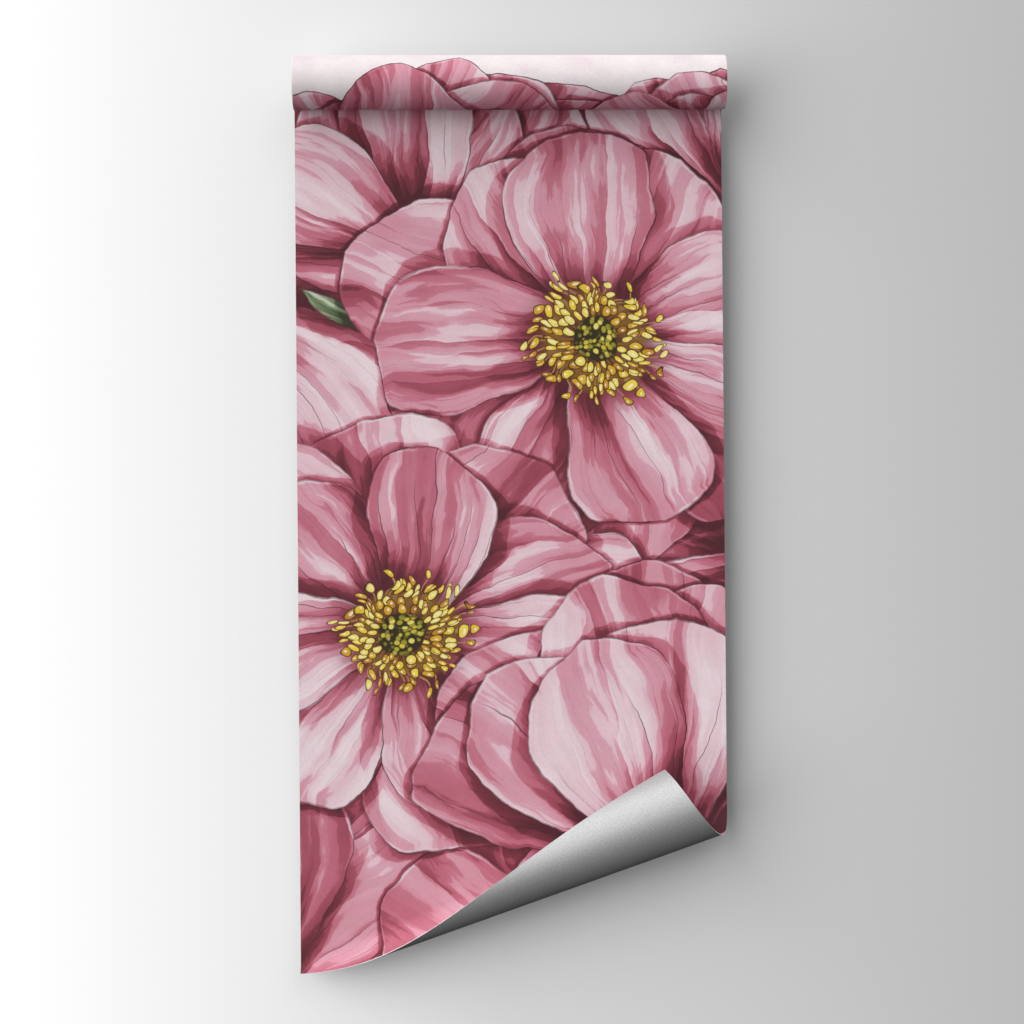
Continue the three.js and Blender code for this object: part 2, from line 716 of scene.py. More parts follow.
@dataclass(frozen=True)
class LongMottle:
    """Soft noise that is drawn out from a petal's base to its tip.

    Attributes:
        across: How many lumps there are to half the petal's width.
        along: How many there are to its length.
        detail: How many finer layers it has.
        apart: How far one petal's noise lies from the next one's.
    """

    across: float
    along: float
    detail: float
    apart: float = 3.17

    def three(self, fan: Wire, petal: TopPetal) -> tuple[Wire, Wire, Wire]:
        """Make three such noises.

        Args:
            fan: How far across the petal, from -1 to 1.
            petal: The petal that shows.

        Returns:
            The noises, each about 0.5.
        """
        own = petal.seed * (self.apart * self.across)
        spot = fan.desk.join(fan * self.across, petal.along * self.along, own)
        return Mottle(1.0, self.detail).three(spot)


@dataclass(frozen=True)
class Streaks:
    """One set of brush streaks, which run from a petal's base to its tip.

    Attributes:
        lanes: How many there are between a petal's mid-line and its side.
        waver: How far they wander, in lanes.
        heft: How much one differs from the next.
        slant: How much lighter one side of a streak is than the other.
        shift: How far they move across from one petal to the next.
        ink: How strong the drawn lines between them are.
        slant_middle: The random level at which a streak has no slant.
        last_end: How far along a petal the last of them starts to fade.
        end: How a streak fades there.
        remains: How much of it is left after that.
    """

    lanes: float
    waver: float
    heft: float
    slant: float
    shift: float
    ink: float
    slant_middle: float = 0.35
    last_end: float = 0.8
    end: Fade = Fade(0.5, 0.2)
    remains: float = 0.3

    def lane(self, fan: Wire, sway: Wire, seed: Wire) -> Wire:
        """Return a count of the streaks across the petal."""
        return fan * self.lanes + sway.swing(self.waver) + seed * self.shift

    def tone(self, lane: Wire, petal: TopPetal) -> Wire:
        """Work out what the streaks add to the tone.

        Args:
            lane: The count of the streaks.
            petal: The petal that shows.

        Returns:
            A tone about 0.
        """
        number = math.floor(lane)
        level, side, end = lane.desk.dice(number, petal.seed, self.heft)
        slant = (lane - number - 0.5) * (side - self.slant_middle) * self.slant
        lasts = self.end.at(petal.along - end * self.last_end)
        return (level - 0.5 + slant) * (lasts * (1 - self.remains) + self.remains) * self.heft


@dataclass(frozen=True)
class BaseTone:
    """How light a petal is before its streaks, from 0, darkest, to 1.

    Attributes:
        middle: The tone of a pale petal.
        wander: How far root, belly and tip shift along it from streak to streak.
        root: The dark root.
        belly: The light from the root outwards.
        tip: What the tip loses of it.
        tint: How much darker the deepest tint is.
        side: How much lighter one side of a petal may be than its middle.
        pool: How far pools of colour change it.
        own: How far one petal differs from the next.
        draw: Keeps these random draws apart from others.
    """

    middle: float = 0.57
    wander: float = 0.6
    root: Fade = Fade(0.45, 0.05, 0.42)
    belly: Fade = Fade(0.25, 0.62, 0.24)
    tip: Fade = Fade(0.72, 1.05, 0.084)
    tint: float = 0.28
    side: float = 0.30
    pool: float = 0.5
    own: float = 0.14
    draw: Pair = (3.0, 1.0)

    def at(self, petal: TopPetal, fan: Wire, sway: Wire, pool: Wire) -> Wire:
        """Work out the tone.

        Args:
            petal: The petal that shows.
            fan: How far across it, from -1 to 1.
            sway: Noise that runs with its streaks.
            pool: More of it, for where the colour pools.

        Returns:
            The tone.
        """
        lit_side, own, _ = fan.desk.dice(petal.seed, *self.draw)
        reach = petal.along + sway.swing(self.wander)
        tone = self.middle - self.root.at(reach) + self.belly.at(reach) - self.tip.at(reach)
        tone = tone - petal.tint.at_most(1.0) * self.tint + fan * lit_side.swing(self.side)
        return tone + pool.swing(self.pool) + own.swing(self.own)


@dataclass(frozen=True)
class Layers:
    """Thin layers of wash, each with a crisp wet edge.

    Attributes:
        levels: The tones where one layer gives way to the next.
        edge: Half the breadth of a layer's edge, as a tone.
        step: How much lighter each layer is than the one before.
        within: How much of a smooth change of tone is left within a layer.
        darkest: The tone of the darkest layer.
        fray: How far the edges wander.
    """

    levels: tuple[float, ...] = (0.28, 0.44, 0.60, 0.76)
    edge: float = 0.012
    step: float = 0.105
    within: float = 0.54
    darkest: float = 0.03
    fray: float = 0.08

    def of(self, tone: Wire, wash: Wire) -> Wire:
        """Lay a smooth tone down in layers.

        Args:
            tone: The smooth tone.
            wash: Noise that frays the layers' edges.

        Returns:
            The layered tone.
        """
        frayed = tone + wash.swing(self.fray)
        layered = tone * self.within + self.darkest
        for level in self.levels:
            layered = layered + frayed.ramp(level - self.edge, level + self.edge) * self.step
        return layered


@dataclass(frozen=True)
class InkLines:
    """Thin drawn lines between some of the streaks, which fade in and out.

    Attributes:
        side: How a line fades to its sides, in millimetres times the lanes.
        drawn: Which lines are drawn, by a random level.
        last_start: How far along a petal the last of them starts.
        longest: How much of its length the longest one lasts for.
        comes: How a line comes in from its start.
        goes: How it goes out after its length.
        draw: Keeps these random draws apart from others.
    """

    side: Fade = Fade(3.375, 0.9)
    drawn: Fade = Fade(0.45, 0.6)
    last_start: float = 0.45
    longest: float = 0.7
    comes: Fade = Fade(-0.02, 0.10)
    goes: Fade = Fade(0.20, 0.0)
    draw: float = 8.0

    def at(self, lane: Wire, petal: TopPetal, spread: Wire) -> Wire:
        """Draw the lines between one set of streaks.

        Args:
            lane: The count of the streaks.
            petal: The petal that shows.
            spread: How far the streaks spread there, as a share of the half width.

        Returns:
            How much ink there is, from 0 to 1.
        """
        nearest = math.floor(lane + 0.5)
        away = abs(lane - nearest) * spread * petal.half_width / MM
        drawn, start, length = lane.desk.dice(nearest, petal.seed, self.draw)
        since = petal.along - start * self.last_start
        lasts = self.comes.at(since) * self.goes.at(since - length * self.longest)
        return self.side.at(away) * lasts * self.drawn.at(drawn)


@dataclass(frozen=True)
class PetalPaint:
    """How the petals and the bare ground are painted.

    Attributes:
        streaks: The brush streaks, the broadest first.
        base: The tone under them.
        layers: The layers that the tones are laid down in.
        lines: The drawn lines.
        colours: A petal's colours, from its darkest tone to its lightest.
        leaf_colours: The same for a leaf.
        ink: The colour of the drawn lines.
        ground: The bare ground.
        ground_wash: The faint wash over it.
        ground_washed: Where the wash shows.
        fan_out: How fast the streaks spread from the base.
        fan_least: How far they are spread at the base, as a share of the half width.
        sway: Noise that runs with the streaks.
        pool: Noise for where the colour pools.
        wash: Noise for the washes.
        bloom: Pale blooms in the colour.
        bloom_from: Where along the petal they set in.
        blot: Dark blots.
        cast_waver: How far the cast shadow's edge wavers.
        cast: The shadow that a petal casts on the next, with its crisp edge.
        cast_depth: How dark it is against the petal that casts it.
        rim: The pale rim, by its distance from the edge in millimetres.
        rim_shows: Where it shows.
        wash_swing: How far the washes change the tone.
        outline: The drawn outline, by the same distance.
        outline_press: How much stronger it is where the pen was pressed.
        outline_least: How strong it is elsewhere.
        slope_step: The step along a petal over which its outline's slope is taken.
        least_length: Stands in for a petal's length on the bare ground.
    """

    streaks: tuple[Streaks, ...] = (
        Streaks(lanes=1.7, waver=1.6, heft=0.40, slant=1.6, shift=0.73, ink=0.0),
        Streaks(lanes=4.3, waver=2.6, heft=0.30, slant=1.2, shift=1.31, ink=0.75),
        Streaks(lanes=11.0, waver=5.0, heft=0.13, slant=0.6, shift=2.11, ink=0.35),
    )
    base: BaseTone = BaseTone()
    layers: Layers = Layers()
    lines: InkLines = InkLines()
    colours: Stops = (
        (0.0, srgb(84, 34, 44)),
        (0.14, srgb(122, 50, 64)),
        (0.32, srgb(162, 74, 92)),
        (0.5, srgb(196, 108, 128)),
        (0.68, srgb(218, 150, 167)),
        (0.84, srgb(232, 190, 202)),
        (1.0, srgb(242, 222, 228)),
    )
    leaf_colours: Stops = (
        (0.0, srgb(52, 60, 42)),
        (0.4, srgb(96, 112, 80)),
        (0.7, srgb(146, 160, 126)),
        (1.0, srgb(206, 212, 190)),
    )
    ink: Triple = srgb(74, 34, 42)
    ground: Triple = srgb(241, 231, 233)
    ground_wash: Triple = srgb(235, 219, 224)
    ground_washed: Fade = Fade(0.45, 0.7)
    fan_out: float = 0.95
    fan_least: float = 0.06
    sway: LongMottle = LongMottle(1.2, 1.3, 2.0)
    pool: LongMottle = LongMottle(2.3, 1.1, 3.0)
    wash: Mottle = Mottle(17.0, 3.0, 0.55)
    bloom: Fade = Fade(0.54, 0.60, 0.13)
    bloom_from: Fade = Fade(0.2, 0.5)
    blot: Fade = Fade(0.44, 0.38, 0.12)
    cast_waver: float = 0.7
    cast: Fade = Fade(0.42, 0.50, 0.16)
    cast_depth: float = 0.30
    rim: Fade = Fade(5.5, 1.5, 0.17)
    rim_shows: Fade = Fade(0.40, 0.62)
    wash_swing: float = 0.14
    outline: Fade = Fade(2.0, 0.8)
    outline_press: Fade = Fade(0.35, 0.65, 0.42)
    outline_least: float = 0.52
    slope_step: float = 0.02
    least_length: float = 10 * MM

    def colour(self, place: Wire, petal: TopPetal) -> Wire:
        """Paint the petals and the ground.

        Args:
            place: Where on the flat paper.
            petal: The petal that shows there.

        Returns:
            The colour, before stamens and paper grain.
        """
        outline = Kind.PETAL.half_width_at(petal.along)
        spread = outline.at_least(petal.along * self.fan_out).at_least(self.fan_least)
        fan = petal.across / spread
        edge = petal.from_edge(outline, self.slope_step, self.least_length)
        sways = self.sway.three(fan, petal)
        pools = self.pool.three(fan, petal)
        washes = self.wash.three(place)

        lanes = [s.lane(fan, sway, petal.seed) for s, sway in zip(self.streaks, sways)]
        tone = self.base.at(petal, fan, sways[0], pools[0])
        for streaks, lane in zip(self.streaks, lanes):
            tone = tone + streaks.tone(lane, petal)
        tone = self._washed(tone, petal, edge, pools, washes[0])
        tone = self.layers.of(tone, washes[2])

        is_leaf = petal.tint > LEAF_MARK - 0.5
        colour = paint(tone.colours(self.colours), tone.colours(self.leaf_colours), is_leaf)
        for streaks, lane in zip(self.streaks, lanes):
            if streaks.ink:
                lines = self.lines.at(lane, petal, spread) * streaks.ink
                colour = paint(colour, self.ink, lines)
        press = self.outline_press.at(washes[1]) + self.outline_least
        colour = paint(colour, self.ink, self.outline.at(edge) * press)
        ground = paint(self.ground, self.ground_wash, self.ground_washed.at(washes[0]))
        return paint(ground, colour, petal.half_width > 0.0)

    def _washed(
        self, tone: Wire, petal: TopPetal, edge: Wire, pools: tuple[Wire, Wire, Wire], wash: Wire
    ) -> Wire:
        """Add blooms, blots, cast shadows and the pale rim to the tone.

        Args:
            tone: The tone so far.
            petal: The petal that shows.
            edge: How far inside its outline, in millimetres.
            pools: Noise for where the colour pools.
            wash: Noise for the washes.

        Returns:
            The tone, still smooth.
        """
        tone = tone + self.bloom.at(pools[1]) * self.bloom_from.at(petal.along)
        tone = tone - self.blot.at(pools[2])
        tone = tone - self.cast.at(petal.shade + pools[1].swing(self.cast_waver))
        tone = tone - petal.shade * petal.shade * self.cast_depth
        return tone + self.rim.at(edge) * self.rim_shows.at(wash) + wash.swing(self.wash_swing)


@dataclass(frozen=True)
class StamenRing:
    """One ring of stamens round a blossom's button.

    Attributes:
        count: How many there are.
        reach: How far out they stand, as a share of the heart's radius.
        anther: Length of an anther, as a share of the heart's radius.
        phase: Turns the ring, in steps.
    """

    count: int
    reach: float
    anther: float
    phase: float


@dataclass(frozen=True)
class Stamens:
    """Golden anthers on thin stalks. Sizes are in heart radii.

    Attributes:
        rings: The rings, the outermost first.
        aside: How far one may stand aside from its place, in steps of its ring.
        shortest: Reach of the shortest, as a share of its ring's.
        longer: How much further the longest reaches.
        stalk: A stalk, by the distance from its mid-line.
        stalk_root: A stalk's colour at its root.
        stalk_tip: Its colour at its tip.
        stalk_turns: Where the one turns to the other.
        slimness: Breadth of an anther, as a share of its length.
        golds: The anthers' colours.
        glint: The colour of the light on one.
        glint_shows: Where it shows, in an anther's own sizes.
        glint_aside: How far aside the glint lies.
        glint_out: How far out it lies.
        rim: The colour of an anther's drawn rim.
        rim_shows: Where the rim shows.
        draw: Keeps these random draws apart from others.
    """

    rings: tuple[StamenRing, ...] = (
        StamenRing(37, 1.0, 0.085, 0.0),
        StamenRing(35, 0.86, 0.09, 0.4),
        StamenRing(31, 0.74, 0.095, 0.1),
        StamenRing(26, 0.61, 0.095, 0.7),
        StamenRing(21, 0.49, 0.095, 0.3),
    )
    aside: float = 0.5
    shortest: float = 0.82
    longer: float = 0.30
    stalk: Fade = Fade(0.014, 0.006, 0.9)
    stalk_root: Triple = srgb(84, 34, 38)
    stalk_tip: Triple = srgb(206, 160, 96)
    stalk_turns: Fade = Fade(0.3, 1.1)
    slimness: float = 0.58
    golds: Stops = (
        (0.0, srgb(176, 116, 34)),
        (0.3, srgb(220, 170, 44)),
        (0.6, srgb(244, 212, 66)),
        (1.0, srgb(250, 236, 140)),
    )
    glint: Triple = srgb(255, 248, 214)
    glint_shows: Fade = Fade(0.25, 0.1, 0.8)
    glint_aside: float = -0.5
    glint_out: float = 0.4
    rim: Triple = srgb(70, 42, 22)
    rim_shows: Fade = Fade(0.68, 0.92)
    draw: Pair = (0.5, 2.0)

    def over(self, colour: Wire, away: Wire, turn: Wire) -> Wire:
        """Paint every ring of stamens.

        Args:
            colour: The colour so far.
            away: Distance from the heart's middle, in heart radii.
            turn: The way from the heart's middle, in turns.

        Returns:
            The colour with the stamens painted over it.
        """
        for number, ring in enumerate(self.rings):
            colour = self._ring(colour, ring, number, away, turn)
        return colour

    def _ring(self, colour: Wire, ring: StamenRing, number: int, away: Wire, turn: Wire) -> Wire:
        """Paint one ring of stamens.

        Args:
            colour: The colour so far.
            ring: The ring.
            number: Which ring it is, for random draws.
            away: Distance from the heart's middle, in heart radii.
            turn: The way from the heart's middle, in turns.

        Returns:
            The colour with the ring painted over it.
        """
        step = turn * ring.count + ring.phase
        cell = math.floor(step)
        wrapped = turn.desk.math("WRAP", cell, float(ring.count), 0.0)
        aside, long, hue = turn.desk.dice(wrapped, number + self.draw[0], self.draw[1])
        sideways = (step - cell - 0.5 + aside.swing(self.aside)) * (math.tau / ring.count) * away
        tip = long * (self.longer * ring.reach) + self.shortest * ring.reach
        stalk_colour = paint(self.stalk_root, self.stalk_tip, self.stalk_turns.at(away))
        stalk = self.stalk.at(abs(sideways)) * (away < tip)
        colour = paint(colour, stalk_colour, stalk)
        out = (away - tip) / ring.anther
        across = sideways / (ring.anther * self.slimness)
        anther = (out * out + across * across).root()
        glint = self.glint_shows.at(anther - across * self.glint_aside - out * self.glint_out)
        gold = paint(hue.colours(self.golds), self.glint, glint)
        gold = paint(gold, self.rim, self.rim_shows.at(anther))
        return paint(colour, gold, anther < 1.0)


@dataclass(frozen=True)
class Button:
    """The green and ochre button in the middle of the stamens. Sizes are in heart radii.

    Attributes:
        radius: Its radius.
        beads: How many beads there are to a heart radius.
        colours: The beads' colours.
        gap: The colour between them.
        gap_shows: Where it shows, by the distance from a bead's middle.
        edge: The colour at the button's edge.
        edge_shows: Where it shows, by the distance from the middle.
    """

    radius: float = 0.38
    beads: float = 11.0
    colours: Stops = (
        (0.0, srgb(124, 122, 40)),
        (0.4, srgb(186, 174, 56)),
        (0.75, srgb(228, 204, 74)),
        (1.0, srgb(244, 230, 132)),
    )
    gap: Triple = srgb(52, 44, 22)
    gap_shows: Fade = Fade(0.34, 0.62)
    edge: Triple = srgb(60, 46, 26)
    edge_shows: Fade = Fade(0.26, 0.42, 0.7)

    def over(self, colour: Wire, local: Wire, away: Wire) -> Wire:
        """Paint the button.

        Args:
            colour: The colour so far.
            local: The place as seen from the heart's middle.
            away: Distance from the heart's middle.

        Returns:
            The colour with the button painted over it.
        """
        beads = local.desk.node("ShaderNodeTexVoronoi", {}, {"Vector": local, "Scale": self.beads})
        tint, _, _ = beads.other("Color").split()
        bead = paint(tint.colours(self.colours), self.gap, self.gap_shows.at(beads))
        bead = paint(bead, self.edge, self.edge_shows.at(away))
        return paint(colour, bead, away < self.radius)


@dataclass(frozen=True)
class Heart:
    """The middle of an open blossom.

    Attributes:
        radius: How far its stamens reach.
        bend: Noise that bends the stamens.
        twist: How far it turns them, in turns.
        deep: The deep colour round the middle.
        deep_shows: Where it shows, by the distance from the middle in heart radii.
        bed: The ochre bed of the stamens.
        bed_shows: Where the bed shows, by the same distance.
        bed_waver: How far its edge wavers.
        stamens: The stamens.
        button: The button in their middle.
    """

    radius: float = 84 * MM
    bend: Mottle = Mottle(1.6, 1.0)
    twist: float = 0.12
    deep: Triple = srgb(96, 36, 46)
    deep_shows: Fade = Fade(1.35, 0.6, 0.75)
    bed: Triple = srgb(142, 100, 36)
    bed_shows: Fade = Fade(0.9, 0.65, 0.85)
    bed_waver: float = 0.5
    stamens: Stamens = Stamens()
    button: Button = Button()

    def over(self, colour: Wire, place: Wire, blossoms: Sequence[Blossom]) -> Wire:
        """Paint the hearts of some blossoms.

        Args:
            colour: The colour so far.
            place: Where on the flat paper.
            blossoms: The blossoms.

        Returns:
            The colour with the hearts painted over it.
        """
        local, away = self._nearest(place, blossoms)
        x, y, _ = local.split()
        bend = self.bend.at(local)
        turn = local.desk.math("ARCTAN2", y, x) / math.tau + bend.swing(self.twist)
        colour = paint(colour, self.deep, self.deep_shows.at(away))
        colour = paint(colour, self.bed, self.bed_shows.at(away + bend.swing(self.bed_waver)))
        colour = self.stamens.over(colour, away, turn)
        return self.button.over(colour, local, away)

    def _nearest(self, place: Wire, blossoms: Sequence[Blossom]) -> tuple[Wire, Wire]:
        """See a place from the nearest heart.

        Args:
            place: Where on the flat paper.
            blossoms: The blossoms whose hearts they are.

        Returns:
            The place, and its distance, in heart radii.
        """
        seen = []
        for blossom in blossoms:
            along, across = blossom.heart_axes(self.radius)
            local = place.desk.join(place.dot(along), place.dot(across))
            seen.append((local, place.desk.vector("LENGTH", local).other("Value")))
        nearest, away = seen[0]
        for local, far in seen[1:]:
            nearest = place.desk.mix("VECTOR", nearest, local, far < away)
            away = away.at_most(far)
        return nearest, away


@dataclass(frozen=True)
class FloralPrint:
    """Watercolour blossoms in rose and wine, with golden stamens, on a pale ground.

    Attributes:
        backdrop: The blossoms behind all the others.
        leaves: The leaves over the backdrop.
        blossoms: The blossoms in front.
        hearts: Which blossoms in front show their stamens.
        paint: How petals and ground are painted.
        heart: How the hearts are.
        wavers: Noises that make the outlines waver as if drawn by hand, and their reach.
        shade_reach: How far a petal's shadow falls on what lies below it.
        pigment: Fine noise in the colour as it settles into the paper.
        pigment_swing: How far it changes the colour.
        blotch: Broader noise.
        blotch_swing: How far that changes it.
        lightness: How light the dried colour is, as a share of the wet one.
        tooth: The paper's tooth.
        relief: How the tooth stands out.
        roughness: The roughness at the bottom of the tooth.
        tooth_rougher: How much rougher it is at the top.
        specular: How much it shines.
    """

    backdrop: tuple[Blossom, ...]
    leaves: tuple[Petal, ...]
    blossoms: tuple[Blossom, ...]
    hearts: tuple[int, ...]
    paint: PetalPaint = PetalPaint()
    heart: Heart = Heart()
    wavers: tuple[tuple[Mottle, float], ...] = (
        (Mottle(9.0, 1.0), 36 * MM),
        (Mottle(46.0, 2.0), 6 * MM),
    )
    shade_reach: float = 34 * MM
    pigment: Mottle = Mottle(260.0, 4.0, 0.65)
    pigment_swing: float = 0.16
    blotch: Mottle = Mottle(38.0, 3.0, 0.6)
    blotch_swing: float = 0.12
    lightness: float = 0.69
    tooth: Mottle = Mottle(900.0, 3.0, 0.6)
    relief: Relief = Relief(0.25, 0.04 * MM)
    roughness: float = 0.72
    tooth_rougher: float = 0.12
    specular: float = 0.25

    def petals(self) -> list[Petal]:
        """Return every petal and leaf, in the order in which they are painted."""
        behind, front = (
            [petal for blossom in layer for petal in blossom.petals()]
            for layer in (self.backdrop, self.blossoms)
        )
        return [*behind, *self.leaves, *front]

    def material(self) -> Finish:
        """Make the printed paper's finish.

        Returns:
            The finish.
        """
        desk = MaterialDesk("printed_paper_face")
        place = desk.flat_place()
        drawn = self._by_hand(place)
        colour = self.paint.colour(place, self._top_petal(drawn))
        hearts = [self.blossoms[index] for index in self.hearts]
        colour = self.heart.over(colour, drawn, hearts)
        colour = self._dried(place, colour)
        tooth = self.tooth.at(place)
        desk.surface(
            {"Specular IOR Level": self.specular},
            {
                "Base Color": colour,
                "Roughness": tooth * self.tooth_rougher + self.roughness,
                "Normal": self.relief.of(tooth),
            },
        )
        return desk.material

    def _by_hand(self, place: Wire) -> Wire:
        """Nudge the place about, so that outlines waver as if drawn by hand.

        Args:
            place: Where on the flat paper.

        Returns:
            The place, with a 1 in its third value for the petals' axes.
        """
        s, t, _ = place.split()
        for noise, reach in self.wavers:
            aside, up, _ = noise.three(place)
            s = s + aside.swing(reach)
            t = t + up.swing(reach)
        return place.desk.join(s, t, 1.0)

    def _dried(self, place: Wire, colour: Wire) -> Wire:
        """Let the colour settle into the grain of the paper.

        Args:
            place: Where on the flat paper.
            colour: The wet colour.

        Returns:
            The dried colour.
        """
        pigment = self.pigment.at(place).swing(self.pigment_swing)
        blotch = self.blotch.at(place).swing(self.blotch_swing)
        return place.desk.vector("SCALE", colour, Scale=pigment + blotch + self.lightness)

    def _top_petal(self, place: Wire) -> TopPetal:
        """Lay the petals one over another.

        Args:
            place: Where on the flat paper.

        Returns:
            The petal that shows.
        """
        brushes = {kind: self._brush(kind) for kind in Kind}
        below: dict[str, Wire] = {}
        for number, petal in enumerate(self.petals()):
            along_axis, across_axis = petal.axes()
            mark = LEAF_MARK if petal.kind is Kind.LEAF else 0.0
            laid = place.desk.node(
                "ShaderNodeGroup",
                {"node_tree": brushes[petal.kind]},
                {
                    "Spot": place,
                    "Along axis": along_axis,
                    "Across axis": across_axis,
                    "Sway": -petal.sway,
                    "Crown": petal.crown,
                    "Number": float(number),
                    "Own make": (petal.tint + mark, petal.half_width, petal.length),
                    "Reach": petal.half_width / self.shade_reach,
                    **below,
                },
            )
            below = {name: laid.other(name) for name in ("Here", "Make", "Inset", "Shade")}
        here, make = below["Here"].split(), below["Make"].split()
        return TopPetal(*here, *make, below["Inset"], below["Shade"])

    @staticmethod
    def _brush(kind: Kind) -> bpy.types.NodeTree:
        """Make the group that lays one petal or leaf over what is below it.

        Args:
            kind: Petal or leaf.

        Returns:
            The group.
        """
        vectors = ("Spot", "Along axis", "Across axis", "Own make", "Here", "Make")
        values = ("Sway", "Crown", "Number", "Reach", "Inset", "Shade")
        inputs = {**dict.fromkeys(vectors, "Vector"), **dict.fromkeys(values, "Float")}
        desk = GroupDesk(f"lay_{kind.value}", inputs)
        spot = desk.given("Spot")
        along = spot.dot(desk.given("Along axis"))
        across = spot.dot(desk.given("Across axis"))
        across = desk.math("MULTIPLY_ADD", along * along, desk.given("Sway"), across)
        along = desk.math("MULTIPLY_ADD", across * across, desk.given("Crown"), along)
        room = kind.half_width_at(along) - abs(across)
        inside = room > 0.0
        own_place = desk.join(along, across, desk.given("Number"))
        near = desk.math("MULTIPLY_ADD", room, desk.given("Reach"), 1.0)
        desk.finish(
            {
                "Here": desk.mix("VECTOR", desk.given("Here"), own_place, inside),
                "Make": desk.mix("VECTOR", desk.given("Make"), desk.given("Own make"), inside),
                "Inset": desk.given("Inset").blend(room, inside),
                "Shade": near.at_least(desk.given("Shade")).blend(0.0, inside),
            }
        )
        return desk.tree


# --------------------------------------------------------------------- plain finishes


@dataclass(frozen=True)
class SilverBacking:
    """The paper's back: neutral silver grey with a fine mottled grain.

    Attributes:
        silver: Its colour.
        speck: The colour of its specks.
        specks: Where they show.
        grain: The grain.
        broad: A broader unevenness.
        broad_swing: How far that changes the colour.
        relief: How the grain stands out.
        metallic: How metallic it is.
        roughness: The roughness at the bottom of the grain.
        grain_rougher: How much rougher it is at the top.
    """

    silver: Triple = grey(169)
    speck: Triple = grey(139)
    specks: Fade = Fade(0.35, 0.7, 0.7)
    grain: Mottle = Mottle(520.0, 4.0, 0.7)
    broad: Mottle = Mottle(60.0)
    broad_swing: float = 0.08
    relief: Relief = Relief(0.35, 0.06 * MM)
    metallic: float = 0.5
    roughness: float = 0.46
    grain_rougher: float = 0.14

    def material(self) -> Finish:
        """Make the backing's finish.

        Returns:
            The finish.
        """
        desk = MaterialDesk("silver_grey_backing")
        place = desk.flat_place()
        grain = self.grain.at(place)
        colour = paint(self.silver, self.speck, self.specks.at(grain))
        level = self.broad.at(place).swing(self.broad_swing) + 1.0
        desk.surface(
            {"Metallic": self.metallic},
            {
                "Base Color": desk.vector("SCALE", colour, Scale=level),
                "Roughness": grain * self.grain_rougher + self.roughness,
                "Normal": self.relief.of(grain),
            },
        )
        return desk.material


@dataclass(frozen=True)
class CutEdge:
    """White fibres where the paper was cut.

    Attributes:
        white: Their colour.
        deep: Their colour between them.
        fibres: Their pattern.
        deep_shows: Where the deeper colour shows.
        relief: How they stand out.
        roughness: Their roughness.
    """

    white: Triple = srgb(246, 245, 242)
    deep: Triple = srgb(222, 219, 212)
    fibres: Mottle = Mottle(900.0, 3.0, 0.7)
    deep_shows: Fade = Fade(0.4, 0.7)
    relief: Relief = Relief(0.4, 0.05 * MM)
    roughness: float = 0.9

    def material(self) -> Finish:
        """Make the cut edge's finish.

        Returns:
            The finish.
        """
        desk = MaterialDesk("white_cut_edge")
        fibres = self.fibres.at(desk.flat_place())
        colour = paint(self.white, self.deep, self.deep_shows.at(fibres))
        varied = {"Base Color": colour, "Normal": self.relief.of(fibres)}
        desk.surface({"Roughness": self.roughness}, varied)
        return desk.material


class Side(Enum):
    """The sides of the paper, by their place among its materials."""

    FACE = 0
    BACK = 1
    EDGE = 2


# --------------------------------------------------------------------- the paper


INTO_THE_ROOM = Vector((0, -1, 0))

# The way to the roll's lowest line. Ways start at the wall side and run over the top.
DOWN = 1.5 * math.pi

# An edge of the paper that turns by more than this is kept sharp.
SHARP_TURN = math.radians(40)


@dataclass(frozen=True)
class Paper:
    """The strip of paper.

    Attributes:
        width: Its width.
        thickness: Its thickness.
    """

    width: float = 530 * MM
    thickness: float = 0.5 * MM

    @property
    def half(self) -> float:
        """Half the width."""
        return self.width / 2


@dataclass
class Station:
    """A straight line across the paper, on its middle surface.

    Attributes:
        left: Its left end.
        right: Its right end.
        face: The way the printed side looks.
        left_place: Where its left end is on the flat paper.
        right_place: Where its right end is on the flat paper.
    """

    left: Vector
    right: Vector
    face: Vector
    left_place: Vector
    right_place: Vector


def level_station(paper: Paper, middle: Vector, face: Vector, up: float, slip: float = 0.0) -> Station:
    """Make a station that runs level from side to side.

    Args:
        paper: The paper.
        middle: Where its middle is.
        face: The way the printed side looks.
        up: How far up the flat paper it is.
        slip: How far it has slipped to the right.

    Returns:
        The station.
    """
    ends = [middle + Vector((side * paper.half + slip, 0, 0)) for side in (-1, 1)]
    places = [Vector((side * paper.half, up, 0)) for side in (-1, 1)]
    return Station(*ends, face, *places)


